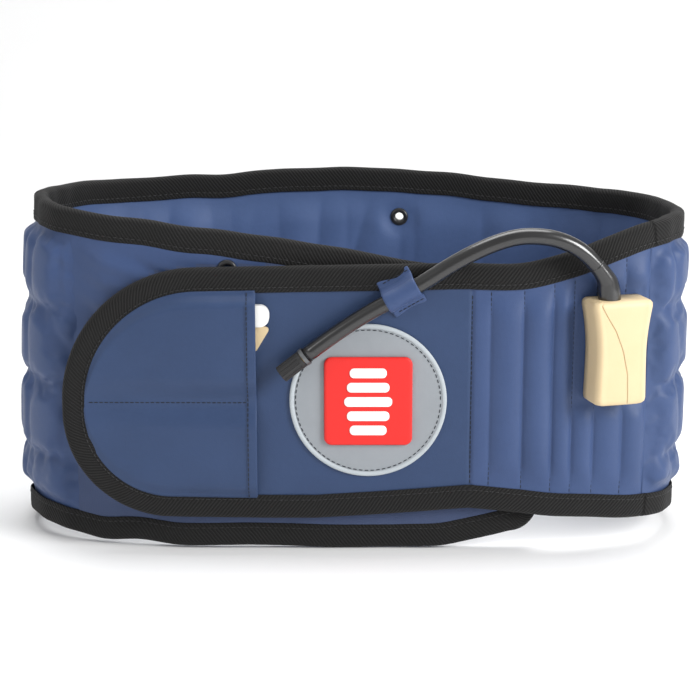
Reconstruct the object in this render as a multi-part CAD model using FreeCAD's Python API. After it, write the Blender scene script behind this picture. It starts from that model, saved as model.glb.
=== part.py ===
"""Inflatable lumbar support belt, closed into an oval ring and standing on its lower edge.

The belt's wall follows one line seen from above: from the front seam round the right side, along the
back, round the left side and in under the front flap. Every layer of the wall is that line, offset
outwards or inwards and cut to height. Lengths are millimetres, +Z is up, +X is to the right of
someone facing the front of the belt, and the origin is under the middle of the ring, on the floor.
"""
import FreeCAD, Part
import math
import os

os.makedirs("parts", exist_ok=True)
Vector = FreeCAD.Vector

# ---------------------------------------------------------------- driving sizes
# Plan line, as stretches of (length, turn to the left in degrees), started at the front seam.
SEAM_X = 70.0
FRONT_Y = -74.6
CELL_LENGTHS = [(88.0, 17.0), (20.0, 15.0)]
RIGHT_LENGTHS = [(14.0, 23.0), (89.5, 78.0), (54.0, 30.0)]
BACK_LENGTH = 277.5
LEFT_LENGTHS = [(54.0, 30.0), (89.5, 78.0), (34.0, 38.0)]
UNDER_CURVE = (88.0, 17.0)
UNDER_END_LENGTH = 42.0        # how far the under layer runs on past the seam
LAP = 8.6                      # from the front layer's middle to the under layer's middle

# Edge heights of the belt.
RIGHT_HEIGHT = 199.0
BACK_HEIGHT = 210.0
BACK_LEFT_HEIGHT = 206.0
LEFT_HEIGHT = 207.0
UNDER_START_HEIGHT = 203.0
UNDER_MIDDLE_HEIGHT = 190.0
UNDER_LAP_HEIGHT = 178.0
UNDER_END_HEIGHT = 168.0
UNDER_END_BOTTOM = 14.0
FRONT_TOP = 176.0
FRONT_BOTTOM = 28.0
FRONT_END_BOTTOM = 16.0
RIGHT_BOTTOM = 7.0

# Fabric make-up, measured outwards from the middle of the wall.
CLOTH = 0.8
CELL_HALF = 1.5
GAP = 0.3
BINDING_WIDTH = 15.0
ELASTIC_THICK = 1.0
ELASTIC_WIDTH = 9.0
ELASTIC_HEIGHTS = [52.0, 98.0, 144.0]
GATHER_PROUD = 3.6
HINGE_GAP = 0.4
HOOK_THICK = 1.8

# Front flap.
FLAP_TOP_SLOPE = 0.018
FLAP_TIP_X = -169.5
FLAP_TIP_BOTTOM = 23.5
FLAP_LOWEST_X = -20.0
FLAP_LOWEST = 21.0
FLAP_TOP_RADIUS = 81.0
FLAP_BOTTOM_RADIUS = 64.0
FLAP_LOWEST_RADIUS = 300.0
HOOK_TAPE_BOX = (-112.0, -22.0, 50.0, 148.0, 8.0)    # X low and high, Z low and high, corner

# Pocket on the flap.
POCKET_MOUTH_X = -55.5
POCKET_DEPTH = 5.6
POCKET_SEAM_Z = 93.5
POCKET_HEM = 6.0
POCKET_RIM = 2.0               # width sewn down round the pocket and along its middle seam
RELEASE_CAP_BOX = (-69.0, -47.2, 139.4, 152.0, 5.6)
ADAPTER_CORNERS = [(-76.0, 124.5, 2.0), (-55.0, 124.5, 2.0), (-46.8, 138.2, 1.6),
                   (-50.5, 139.0, 1.0), (-76.0, 139.0, 2.0)]
ADAPTER_THICK = 2.4

# Round patch and its badge.
PATCH_X = 10.0
PATCH_Z = 94.5
PATCH_RADIUS = 46.0
PATCH_THICK = 1.2
PATCH_EDGE_WIDTH = 3.0
PATCH_EDGE_PROUD = 0.5
BADGE_WIDTH = 51.5
BADGE_HEIGHT = 53.0
BADGE_THICK = 2.4
BADGE_RADIUS = 4.5
BAR_COUNT = 5
BAR_HALF_WIDTH = 14.0          # of the middle bar
BAR_TAPER = 1.6                # how much shorter each next bar is at either end
BAR_PITCH = 8.6
BAR_HALF_HEIGHT = 2.9
BAR_CORNER = 2.6
BAR_THICK = 0.6

# Hose, its loop and the valve on its free end.
HOSE_RADIUS = 4.7
HOSE_Y = FRONT_Y - 12.0
HOSE_ROUTE = [
    (145.6, HOSE_Y + 7.6, 169.5),
    (136.5, HOSE_Y + 5.0, 180.7),
    (124.2, HOSE_Y + 2.8, 189.0),
    (110.0, HOSE_Y + 1.2, 193.2),
    (90.9, HOSE_Y + 0.2, 193.0),
    (64.4, HOSE_Y - 0.3, 181.8),
    (36.2, HOSE_Y, 163.0),
    (-1.6, HOSE_Y + 0.4, 142.7),
    (-25.9, HOSE_Y, 123.7),
]
LOOP_X = 29.0
LOOP_LENGTH = 21.0
LOOP_CLOTH = 1.2
LOOP_FOOT = 5.0
LOOP_PLAY = 0.5
FERRULE_LENGTH = 2.2
FERRULE_RADIUS = 5.4
STEM_RADIUS = 3.87
STEM_LENGTH = 14.0
STEM_BORE_START = 3.0
CAP_START = 2.6
CAP_LENGTH = 15.6
CAP_RADIUS = 5.1
CAP_PLAY = 0.25                # radial clearance over the stem
CAP_HEADROOM = 0.9             # from the stem's end to the inside of the cap's end
CAP_HOLLOW_RADIUS = 2.6
CAP_HOLLOW_DEPTH = 1.2
CAP_RIBS = 12
CAP_GROOVE_RADIUS = 0.7
CAP_GROOVE_OUT = 0.25          # from the cap's surface out to a groove's axis
CAP_GROOVE_START = 2.4         # plain collar left at the cap's mouth
GASKET_LIFT = 0.2
GASKET_THICK = 0.5
GASKET_HOLE = 1.6
CORE_RADIUS = 2.5
CORE_PLAY = 0.05
CORE_START = 7.0
CORE_SUNK = 0.6                # how far the core sits inside the stem's end
PIN_RADIUS = 0.7
PIN_HEAD_RADIUS = 1.8
PIN_HEAD_THICK = 0.8
PIN_HEAD_GAP = 0.3             # between the pin's head and the core
PIN_PROUD = 0.1
SPRING_START = 3.3
SPRING_PIN_GAP = 0.3
SPRING_RADIUS = 1.9
SPRING_WIRE = 0.4
SPRING_PITCH = 0.8
SPRING_TURNS = 3
FIT = 0.1                     # radial clearance of the small turning and sliding pieces

# Air inlet housing on the front of the belt.
HOUSING_AT = 82.0             # along the plan line from the seam
HOUSING_TOP_WIDTH = 39.0
HOUSING_WAIST = 31.0
HOUSING_BOTTOM_WIDTH = 32.5
HOUSING_EXIT_X = -5.5          # where the hose leaves, beside the housing's middle
HOUSING_LOW = 93.0
HOUSING_HIGH = 155.0
HOUSING_DEPTH = 20.0
HOUSING_SPLIT = 8.0
HOUSING_WALL = 1.8
HOUSING_CORNER = 5.0
HOUSING_RIM_ROUND = 3.5
HOUSING_WAIST_RISE = 2.0       # of the waist above the housing's middle
HOUSING_WAIST_RADIUS = 70.0
PORT_RADIUS = 4.0
ELBOW_WALL = 1.4
ELBOW_TOP = 4.0                # how far the elbow stands up into the boot
SCREW_PLACES = [(13.0, 23.0), (-10.5, -23.0), (10.5, -23.0)]
SCREW_RADIUS = 1.2
SCREW_LENGTH = 10.5
SCREW_TIGHT = 0.05             # radial clearance where the screw bites
SCREW_LOOSE = 0.3              # radial clearance where it passes through
SCREW_HEAD_RADIUS = 2.4
SCREW_HEAD_THICK = 1.2
SCREW_HEAD_PLAY = 0.2
SCREW_HOLE_DEPTH = 11.0
BOSS_RADIUS = 3.2
BOOT_LOW_RADIUS = 6.6
BOOT_HIGH_RADIUS = 5.0

# Eyelets.
EYELET_RADIUS = 5.8
EYELET_HOLE = 2.7
EYELET_FLANGE = 0.9
EYELET_BARREL = 0.6            # wall of the barrel that goes through the cloth
BACK_EYELET_SHARE = 0.375      # of the back's length, from the right side
BACK_EYELET_HEIGHT = 177.0
UNDER_EYELET_ALONG = 3.0       # past the end of the under layer's curve
UNDER_EYELET_DROP = 22.0       # below the under layer's top edge

nodes = {}


def add(name, shape):
    """Keep a finished piece under its node name."""
    nodes[name] = shape


# ---------------------------------------------------------------- plan line
class Stretch:
    """One arc or straight of the plan line."""

    def __init__(self, start, heading, length, turn):
        self.x, self.y = start
        self.heading = heading
        self.length = length
        self.turn = turn

    def at(self, distance, offset=0.0):
        """The point at a distance along the stretch, moved outwards by offset, and its heading."""
        first = math.radians(self.heading)
        bend = math.radians(self.turn) * distance / self.length
        if abs(bend) < 1e-9:
            x = self.x + distance * math.cos(first)
            y = self.y + distance * math.sin(first)
        else:
            radius = distance / bend
            x = self.x + radius * (math.sin(first + bend) - math.sin(first))
            y = self.y - radius * (math.cos(first + bend) - math.cos(first))
        heading = first + bend
        point = Vector(x + offset * math.sin(heading), y - offset * math.cos(heading), 0)
        return point, heading

    def edge(self, offset):
        start = self.at(0.0, offset)[0]
        end = self.at(self.length, offset)[0]
        if abs(self.turn) < 1e-9:
            return Part.LineSegment(start, end).toShape()
        middle = self.at(self.length / 2, offset)[0]
        return Part.Arc(start, middle, end).toShape()

    def end(self):
        point, heading = self.at(self.length)
        return (point.x, point.y), math.degrees(heading)


def chain(start, heading, stretches):
    """Stretches laid end to end, and where the last one ends."""
    made = []
    for length, turn in stretches:
        made.append(Stretch(start, heading, length, turn))
        start, heading = made[-1].end()
    return made, start, heading


def scaled(stretches, factor):
    return [(length * factor, turn) for length, turn in stretches]


seam = (SEAM_X + HINGE_GAP / 2, FRONT_Y)
cell_line, at, heading = chain(seam, 0.0, CELL_LENGTHS)
right_line, at, heading = chain(at, heading, RIGHT_LENGTHS)
left_turn = sum(turn for length, turn in LEFT_LENGTHS) + UNDER_CURVE[1]
back_turn = 360.0 - heading - left_turn
back_line, at, heading = chain(at, heading, [(BACK_LENGTH, back_turn)])
# The left side is scaled so that the under layer comes home one lap inside the front layer.
full_side, side_end, side_heading = chain(at, heading, LEFT_LENGTHS)
curve_end = chain(side_end, side_heading, [UNDER_CURVE])[1]
under_y = FRONT_Y + LAP
side_drop = side_end[1] - at[1]
curve_drop = curve_end[1] - side_end[1]
left_factor = (under_y - at[1] - curve_drop) / side_drop
left_line, at, heading = chain(at, heading, scaled(LEFT_LENGTHS, left_factor))
under_line, at, heading = chain(at, heading, [UNDER_CURVE])
front_radius = CELL_LENGTHS[0][0] / math.radians(CELL_LENGTHS[0][1])
end_turn = math.degrees(UNDER_END_LENGTH / (front_radius - LAP))
more, at, heading = chain(at, 0.0, [(seam[0] - at[0], 0.0), (UNDER_END_LENGTH, end_turn)])
under_line += more
under_end_x = at[0]


# ---------------------------------------------------------------- shape helpers
FAR = 400.0


def strip(line, inner, outer):
    """The plan face between two offsets of a line."""
    outside = [stretch.edge(outer) for stretch in line]
    inside = [stretch.edge(inner) for stretch in line]
    first = line[0]
    last = line[-1]
    start = Part.LineSegment(first.at(0, inner)[0], first.at(0, outer)[0]).toShape()
    end = Part.LineSegment(last.at(last.length, outer)[0], last.at(last.length, inner)[0]).toShape()
    edges = Part.__sortEdges__(outside + [end] + inside + [start])
    return Part.Face(Part.Wire(edges))


class Level:
    """A flat, sloping level: its height is base + by_x * x + by_y * y."""

    def __init__(self, base, by_x=0.0, by_y=0.0):
        self.base = base
        self.by_x = by_x
        self.by_y = by_y

    def up(self, rise):
        return Level(self.base + rise, self.by_x, self.by_y)

    def point(self, x, y):
        return Vector(x, y, self.base + self.by_x * x + self.by_y * y)

    def below(self):
        """The solid that fills everything under this level."""
        corners = [self.point(x, y) for x, y in [(-FAR, -FAR), (FAR, -FAR), (FAR, FAR), (-FAR, FAR)]]
        face = Part.Face(Part.makePolygon(corners + corners[:1]))
        return face.extrude(Vector(0, 0, -2 * FAR))


class Profile:
    """A level that follows a line of (x, z) points."""

    def __init__(self, points):
        self.points = points

    def up(self, rise):
        return Profile([(x, z + rise) for x, z in self.points])

    def below(self):
        first = self.points[0]
        last = self.points[-1]
        line = [(-FAR, first[1])] + self.points + [(FAR, last[1])]
        corners = [Vector(x, -FAR, z) for x, z in line]
        corners += [Vector(FAR, -FAR, -FAR), Vector(-FAR, -FAR, -FAR)]
        face = Part.Face(Part.makePolygon(corners + corners[:1]))
        return face.extrude(Vector(0, 2 * FAR, 0))

    def height(self, x):
        """How high the level is at x."""
        for (x_low, z_low), (x_high, z_high) in zip(self.points, self.points[1:]):
            if x_low <= x <= x_high:
                return z_low + (z_high - z_low) * (x - x_low) / (x_high - x_low)
        return self.points[-1][1]


def level_through(a, b, c):
    """The flat level through three (x, y, z) points."""
    normal = (Vector(*b) - Vector(*a)).cross(Vector(*c) - Vector(*a))
    by_x = -normal.x / normal.z
    by_y = -normal.y / normal.z
    return Level(a[2] - by_x * a[0] - by_y * a[1], by_x, by_y)


def wall(line, inner, outer, bottom, top):
    """A layer of the belt's wall, between two offsets and two levels."""
    block = strip(line, inner, outer).extrude(Vector(0, 0, FAR))
    return block.common(top.below()).cut(bottom.below())


def binding(line, inner, outer, edge, inward):
    """Tape folded over an edge: inward is -1 on a top edge and +1 on a bottom edge."""
    far_edge = edge.up(inward * BINDING_WIDTH)
    fold = edge.up(inward * CLOTH)
    low, high = (far_edge, edge) if inward < 0 else (edge, far_edge)
    tape = wall(line, inner - CLOTH, outer + CLOTH, low, high)
    low, high = (far_edge.up(-1), fold) if inward < 0 else (fold, far_edge.up(1))
    return tape.cut(wall(line, inner, outer, low, high))


def rounded(corners):
    """A closed outline in the XZ plane from (x, z, corner radius)."""
    edges = []
    ends = []
    count = len(corners)
    for index in range(count):
        before = Vector(corners[index - 1][0], 0, corners[index - 1][1])
        here = Vector(corners[index][0], 0, corners[index][1])
        after = Vector(corners[(index + 1) % count][0], 0, corners[(index + 1) % count][1])
        radius = corners[index][2]
        to_before = (before - here).normalize()
        to_after = (after - here).normalize()
        if radius == 0:
            ends.append((here, here))
            continue
        half = to_before.getAngle(to_after) / 2
        reach = radius / math.tan(half)
        middle = (to_before + to_after).normalize() * (radius / math.sin(half) - radius)
        ends.append((here + to_before * reach, here + to_after * reach))
        edges.append(Part.Arc(ends[-1][0], here + middle, ends[-1][1]).toShape())
    for index in range(count):
        start = ends[index][1]
        end = ends[(index + 1) % count][0]
        edges.append(Part.LineSegment(start, end).toShape())
    return Part.Wire(Part.__sortEdges__(edges))


def plate(outline, low, high, grow=0.0):
    """A flat piece of the front layer, between two distances outwards from its middle."""
    face = Part.Face(outline)
    if grow:
        face = Part.Face(face.makeOffset2D(grow, 2).OuterWire)
    face.translate(Vector(0, FRONT_Y - low, 0))
    return face.extrude(Vector(0, low - high, 0))


def rounded_box(x_low, x_high, z_low, z_high, radius):
    return rounded([(x_low, z_low, radius), (x_high, z_low, radius),
                    (x_high, z_high, radius), (x_low, z_high, radius)])


def disc(x, z, radius):
    circle = Part.Circle(Vector(x, 0, z), Vector(0, -1, 0), radius)
    return Part.Wire(circle.toShape())


# ---------------------------------------------------------------- wall levels
FLOOR = Level(0.0)
RIGHT_TOP = Level(RIGHT_HEIGHT)
right_start = right_line[0].at(0)[0]
right_far = right_line[1].at(right_line[1].length / 2)[0]
right_end = back_line[0].at(0)[0]
left_start = left_line[0].at(0)[0]
RIGHT_LOW = level_through((right_start.x, right_start.y, FRONT_END_BOTTOM),
                          (right_far.x, right_far.y, RIGHT_BOTTOM),
                          (right_end.x, right_end.y, 0.0))
BACK_TOP = Profile([(left_start.x, BACK_LEFT_HEIGHT), (-45.0, BACK_HEIGHT), (0.0, BACK_HEIGHT),
                    (right_end.x, RIGHT_HEIGHT)])
left_far = left_line[1].at(left_line[1].length / 2)[0]
left_end = under_line[0].at(0)[0]
LEFT_TOP = level_through((left_start.x, left_start.y, BACK_LEFT_HEIGHT),
                         (left_far.x, left_far.y, LEFT_HEIGHT),
                         (left_end.x, left_end.y, UNDER_START_HEIGHT))
UNDER_TOP = Profile([(left_end.x, UNDER_START_HEIGHT), (-45.0, UNDER_MIDDLE_HEIGHT),
                     (28.0, UNDER_LAP_HEIGHT), (under_end_x, UNDER_END_HEIGHT)])
UNDER_BOTTOM = Profile([(55.0, 0.0), (under_end_x, UNDER_END_BOTTOM)])
CELL_TOP = Profile([(SEAM_X, FRONT_TOP), (SEAM_X + 32.0, FRONT_TOP + 0.5),
                    (SEAM_X + 74.0, FRONT_TOP + 12.5), (right_start.x, RIGHT_HEIGHT)])
CELL_BOTTOM = Profile([(SEAM_X, FRONT_BOTTOM), (SEAM_X + 49.0, 22.0),
                       (right_start.x, FRONT_END_BOTTOM)])

COVER_IN = CELL_HALF + GAP
COVER_OUT = COVER_IN + CLOTH
TAPE_IN = COVER_OUT + GAP
EDGE = CLOTH + GAP             # from a binding's fold to the cut edge of the cloth
CLEAR = BINDING_WIDTH + GAP    # from a binding's fold to what stops short of it


def layers(name, line, bottom, top):
    """Cover, lining, air cells and bindings of a plain stretch of wall."""
    add(name + "_cover", wall(line, COVER_IN, COVER_OUT, bottom.up(EDGE), top.up(-EDGE)))
    add(name + "_lining", wall(line, -COVER_OUT, -COVER_IN, bottom.up(EDGE), top.up(-EDGE)))
    add(name + "_air_cells", wall(line, -CELL_HALF, CELL_HALF, bottom.up(CLEAR), top.up(-CLEAR)))
    add(name + "_top_binding", binding(line, -TAPE_IN, TAPE_IN, top, -1))
    add(name + "_bottom_binding", binding(line, -TAPE_IN, TAPE_IN, bottom, 1))


def gathered_layers(name, line, bottom, top):
    """The same for a gathered side, whose cover stands proud over elastic bands."""
    elastic_in = CELL_HALF + GAP
    elastic_out = elastic_in + ELASTIC_THICK
    cover_in = elastic_out + GAP
    cover_out = cover_in + CLOTH
    sheet = wall(line, cover_in, cover_out, bottom.up(EDGE), top.up(-EDGE))
    gathers = wall(line, cover_out, cover_out + GATHER_PROUD, bottom.up(CLEAR), top.up(-CLEAR))
    add(name + "_cover", sheet.fuse(gathers).removeSplitter())
    add(name + "_lining", wall(line, -COVER_OUT, -COVER_IN, bottom.up(EDGE), top.up(-EDGE)))
    add(name + "_air_cells", wall(line, -CELL_HALF, CELL_HALF, bottom.up(CLEAR), top.up(-CLEAR)))
    bands = []
    for height in ELASTIC_HEIGHTS:
        low = Level(height - ELASTIC_WIDTH / 2)
        bands.append(wall(line, elastic_in, elastic_out, low, low.up(ELASTIC_WIDTH)))
    add(name + "_elastic_bands", Part.makeCompound(bands))
    add(name + "_top_binding", binding(line, -TAPE_IN, cover_out + GAP, top, -1))
    add(name + "_bottom_binding", binding(line, -TAPE_IN, cover_out + GAP, bottom, 1))


# ---------------------------------------------------------------- belt wall
layers("front_panel", cell_line, CELL_BOTTOM, CELL_TOP)
gathered_layers("right_side", right_line, RIGHT_LOW, RIGHT_TOP)
layers("back", back_line, FLOOR, BACK_TOP)
gathered_layers("left_side", left_line, FLOOR, LEFT_TOP)


def under_layer(inner, outer, bottom, top):
    return wall(under_line, inner, outer, bottom, top)


add("under_cover", under_layer(COVER_IN, COVER_OUT, UNDER_BOTTOM.up(EDGE), UNDER_TOP.up(-EDGE)))
add("under_lining", under_layer(-COVER_OUT, -COVER_IN, UNDER_BOTTOM.up(EDGE), UNDER_TOP.up(-EDGE)))
add("under_foam", under_layer(-CELL_HALF, CELL_HALF, UNDER_BOTTOM.up(CLEAR), UNDER_TOP.up(-CLEAR)))
add("under_top_binding", binding(under_line, -TAPE_IN, TAPE_IN, UNDER_TOP, -1))
add("under_bottom_binding", binding(under_line, -TAPE_IN, TAPE_IN, UNDER_BOTTOM, 1))
pile_thick = LAP - 2 * COVER_OUT - HOOK_THICK - GAP
add("loop_pile", under_layer(COVER_OUT, COVER_OUT + pile_thick, UNDER_BOTTOM.up(CLEAR),
                             UNDER_TOP.up(-CLEAR)))


# ---------------------------------------------------------------- front flap
def front_top(x):
    """Height of the flap's top edge."""
    return FRONT_TOP + FLAP_TOP_SLOPE * (x - SEAM_X)


def front_bottom(x):
    """Height of the flap's bottom edge, from its lowest point to the seam."""
    rise = (FRONT_BOTTOM - FLAP_LOWEST) / (SEAM_X - FLAP_LOWEST_X)
    return FLAP_LOWEST + rise * (x - FLAP_LOWEST_X)


beyond = SEAM_X + 60.0
flap_outline = rounded([
    (beyond, front_top(beyond), 0), (FLAP_TIP_X, front_top(FLAP_TIP_X), FLAP_TOP_RADIUS),
    (FLAP_TIP_X, FLAP_TIP_BOTTOM, FLAP_BOTTOM_RADIUS), (FLAP_LOWEST_X, FLAP_LOWEST, FLAP_LOWEST_RADIUS),
    (beyond, front_bottom(beyond), 0)])
SEAM_CUT = Part.makeBox(FAR, 2 * FAR, 2 * FAR, Vector(SEAM_X - HINGE_GAP / 2, -FAR, -FAR))


def flap_plate(low, high, inset):
    return plate(flap_outline, low, high, -inset).cut(SEAM_CUT)


add("flap_cover", flap_plate(COVER_IN, COVER_OUT, EDGE))
add("flap_lining", flap_plate(-COVER_OUT, -COVER_IN, EDGE))
add("flap_board", flap_plate(-CELL_HALF, CELL_HALF, CLEAR))
tape = flap_plate(-TAPE_IN - CLOTH, TAPE_IN + CLOTH, 0.0)
tape = tape.cut(flap_plate(-TAPE_IN, TAPE_IN, CLOTH))
add("flap_binding", tape.cut(flap_plate(-FAR, FAR, BINDING_WIDTH)))
add("hook_tape", plate(rounded_box(*HOOK_TAPE_BOX), -COVER_OUT - HOOK_THICK, -COVER_OUT))

# Pocket: a raised panel with an upper and a lower compartment, open at its right end.
pocket_top = COVER_OUT + POCKET_DEPTH
pocket_right = Part.makeBox(FAR, 2 * FAR, 2 * FAR, Vector(POCKET_MOUTH_X, -FAR, -FAR))
pocket = flap_plate(COVER_OUT, pocket_top + CLOTH, CLEAR).cut(pocket_right)
cavity = flap_plate(COVER_OUT, pocket_top, CLEAR + POCKET_RIM)
seam_rib = Part.makeBox(FAR, 2 * FAR, POCKET_RIM,
                        Vector(POCKET_MOUTH_X - FAR, -FAR, POCKET_SEAM_Z - POCKET_RIM / 2))
pocket = pocket.cut(cavity.cut(seam_rib))
add("pocket_panel", pocket)
hem_left = Part.makeBox(FAR, 2 * FAR, 2 * FAR, Vector(POCKET_MOUTH_X - POCKET_HEM - FAR, -FAR, -FAR))
hem = flap_plate(pocket_top + CLOTH, pocket_top + 2 * CLOTH, CLEAR).cut(pocket_right)
add("pocket_hem", hem.cut(hem_left))

# What the pocket holds: the pump's release cap and a flat adapter.
item_low = COVER_OUT + GAP
add("release_cap", plate(rounded_box(*RELEASE_CAP_BOX), item_low, pocket_top - GAP))
add("adapter", plate(rounded(ADAPTER_CORNERS), item_low, item_low + ADAPTER_THICK))

# Round patch, its sewn edge and the badge with a column of five bars.
patch_inner = PATCH_RADIUS - PATCH_EDGE_WIDTH
add("patch_disc", plate(disc(PATCH_X, PATCH_Z, patch_inner), COVER_OUT, COVER_OUT + PATCH_THICK))
edge_ring = plate(disc(PATCH_X, PATCH_Z, PATCH_RADIUS), COVER_OUT, COVER_OUT + PATCH_THICK + PATCH_EDGE_PROUD)
edge_hole = plate(disc(PATCH_X, PATCH_Z, patch_inner), 0, FAR)
add("patch_edge", edge_ring.cut(edge_hole))
badge_low = COVER_OUT + PATCH_THICK
badge_outline = rounded_box(PATCH_X - BADGE_WIDTH / 2, PATCH_X + BADGE_WIDTH / 2,
                            PATCH_Z - BADGE_HEIGHT / 2, PATCH_Z + BADGE_HEIGHT / 2, BADGE_RADIUS)
badge = plate(badge_outline, badge_low, badge_low + BADGE_THICK)
add("badge", badge)
bars = []
for index in range(BAR_COUNT):
    from_middle = index - BAR_COUNT // 2
    half_width = BAR_HALF_WIDTH - BAR_TAPER * abs(from_middle)
    middle = PATCH_Z + BAR_PITCH * from_middle
    bar = rounded_box(PATCH_X - half_width, PATCH_X + half_width,
                      middle - BAR_HALF_HEIGHT, middle + BAR_HALF_HEIGHT, BAR_CORNER)
    bars.append(plate(bar, badge_low + BADGE_THICK, badge_low + BADGE_THICK + BAR_THICK))
add("badge_bars", Part.makeCompound(bars))


# ---------------------------------------------------------------- hose
def route_wire(points):
    """Straight runs joined by tangent arcs, each as large as its two runs allow."""
    corners = [Vector(*point) for point in points]
    edges = []
    last = corners[0]
    for index in range(1, len(corners) - 1):
        here = corners[index]
        back = corners[index - 1] - here
        ahead = corners[index + 1] - here
        half = back.getAngle(ahead) / 2
        reach = 0.45 * min(back.Length, ahead.Length)
        radius = reach * math.tan(half)
        back.normalize()
        ahead.normalize()
        print("hose point", index, "arc radius", round(radius, 1))
        start = here + back * reach
        end = here + ahead * reach
        middle = here + (back + ahead).normalize() * (radius / math.sin(half) - radius)
        edges.append(Part.LineSegment(last, start).toShape())
        edges.append(Part.Arc(start, middle, end).toShape())
        last = end
    edges.append(Part.LineSegment(last, corners[-1]).toShape())
    return Part.Wire(edges)


def tube(points, radius):
    path = route_wire(points)
    first = Vector(*points[0])
    along = Vector(*points[1]) - first
    ring = Part.Wire(Part.Circle(first, along, radius).toShape())
    solid = path.makePipeShell([ring], True, False)
    swept = math.pi * radius ** 2 * path.Length
    print("hose length", round(path.Length, 1), "volume ratio", round(solid.Volume / swept, 4))
    return solid


add("hose", tube(HOSE_ROUTE, HOSE_RADIUS))
hose_end = Vector(*HOSE_ROUTE[-1])
valve_axis = (hose_end - Vector(*HOSE_ROUTE[-2])).normalize()


def along_valve(start, length, radius):
    return Part.makeCylinder(radius, length, hose_end + valve_axis * start, valve_axis)


add("hose_ferrule", along_valve(0, FERRULE_LENGTH, FERRULE_RADIUS)
    .cut(along_valve(-1, FERRULE_LENGTH + 2, STEM_RADIUS)))
add("valve_stem", along_valve(0, STEM_LENGTH, STEM_RADIUS)
    .cut(along_valve(STEM_BORE_START, STEM_LENGTH, CORE_RADIUS + CORE_PLAY)))
core_length = STEM_LENGTH - CORE_START - CORE_SUNK
add("valve_core", along_valve(CORE_START, core_length, CORE_RADIUS)
    .cut(along_valve(CORE_START - 1, core_length + 2, PIN_RADIUS + FIT)))
pin_start = CORE_START - PIN_HEAD_GAP - PIN_HEAD_THICK
pin_length = CORE_START + core_length + PIN_PROUD - pin_start
pin_head = along_valve(pin_start, PIN_HEAD_THICK, PIN_HEAD_RADIUS)
add("valve_pin", pin_head.fuse(along_valve(pin_start, pin_length, PIN_RADIUS)))
spring = along_valve(SPRING_START, SPRING_TURNS * SPRING_PITCH, SPRING_RADIUS - SPRING_WIRE)
for turn in range(SPRING_TURNS):
    spring = spring.fuse(along_valve(SPRING_START + turn * SPRING_PITCH, SPRING_WIRE, SPRING_RADIUS))
spring = spring.cut(along_valve(0, STEM_LENGTH, PIN_RADIUS + SPRING_PIN_GAP))
add("valve_spring", spring)
cap = along_valve(CAP_START, CAP_LENGTH, CAP_RADIUS)
cap_inside = STEM_LENGTH + CAP_HEADROOM
cap = cap.cut(along_valve(CAP_START - 1, cap_inside - CAP_START + 1, STEM_RADIUS + CAP_PLAY))
cap_end = CAP_START + CAP_LENGTH
cap = cap.cut(along_valve(cap_end - CAP_HOLLOW_DEPTH, CAP_HOLLOW_DEPTH + 1, CAP_HOLLOW_RADIUS))
across = valve_axis.cross(Vector(0, 1, 0)).normalize()
groove_foot = hose_end + valve_axis * (CAP_START + CAP_GROOVE_START) + across * (CAP_RADIUS + CAP_GROOVE_OUT)
for index in range(CAP_RIBS):
    groove = Part.makeCylinder(CAP_GROOVE_RADIUS, CAP_LENGTH, groove_foot, valve_axis)
    groove.rotate(hose_end, valve_axis, 360.0 * index / CAP_RIBS)
    cap = cap.cut(groove)
add("valve_cap", cap)
add("cap_gasket", along_valve(STEM_LENGTH + GASKET_LIFT, GASKET_THICK, STEM_RADIUS - FIT)
    .cut(along_valve(STEM_LENGTH - 1, 4, GASKET_HOLE)))

# Cloth loop that holds the hose to the flap.
start = Vector(*HOSE_ROUTE[-3])
stop = Vector(*HOSE_ROUTE[-2])
share = (LOOP_X - start.x) / (stop.x - start.x)
loop_middle = start + (stop - start) * share
loop_axis = Vector(stop.x - start.x, 0, stop.z - start.z).normalize()
loop_across = Vector(loop_axis.z, 0, -loop_axis.x)
panel_face = Vector(loop_middle.x, FRONT_Y - COVER_OUT, loop_middle.z)
loop_height = panel_face.y - loop_middle.y


def loop_profile(radius, foot_out, foot_up):
    """The loop's outline round the hose, with feet on the panel."""
    top = Vector(0, -loop_height, 0)
    corners = [Vector(0, 0, 0) + loop_across * foot_out]
    corners.append(corners[0] + Vector(0, -foot_up, 0))
    corners.append(loop_across * radius + Vector(0, -foot_up, 0))
    corners.append(loop_across * radius + top)
    mirrored = [point - loop_across * (2 * point.dot(loop_across)) for point in corners]
    edges = []
    for line in (corners, mirrored):
        for first, second in zip(line, line[1:]):
            if (second - first).Length > 1e-6:
                edges.append(Part.LineSegment(first, second).toShape())
    crown = top + Vector(0, -radius, 0)
    edges.append(Part.Arc(corners[-1], crown, mirrored[-1]).toShape())
    edges.append(Part.LineSegment(mirrored[0], corners[0]).toShape())
    return Part.Face(Part.Wire(Part.__sortEdges__(edges)))


inner_radius = HOSE_RADIUS + LOOP_PLAY
outer_radius = inner_radius + LOOP_CLOTH
loop = loop_profile(outer_radius, outer_radius + LOOP_FOOT, LOOP_CLOTH).extrude(loop_axis * LOOP_LENGTH)
hollow = loop_profile(inner_radius, inner_radius + 0.01, LOOP_CLOTH).extrude(loop_axis * LOOP_LENGTH)
loop = loop.cut(hollow)
loop.translate(panel_face - loop_axis * (LOOP_LENGTH / 2))
add("hose_loop", loop.cut(nodes["flap_binding"]))


# ---------------------------------------------------------------- inlet housing
housing_stretch = cell_line[0]
housing_foot, housing_heading = housing_stretch.at(HOUSING_AT, COVER_OUT + GAP)
housing_turn = math.degrees(housing_heading)
housing_middle = (HOUSING_LOW + HOUSING_HIGH) / 2
half_height = (HOUSING_HIGH - HOUSING_LOW) / 2


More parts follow.
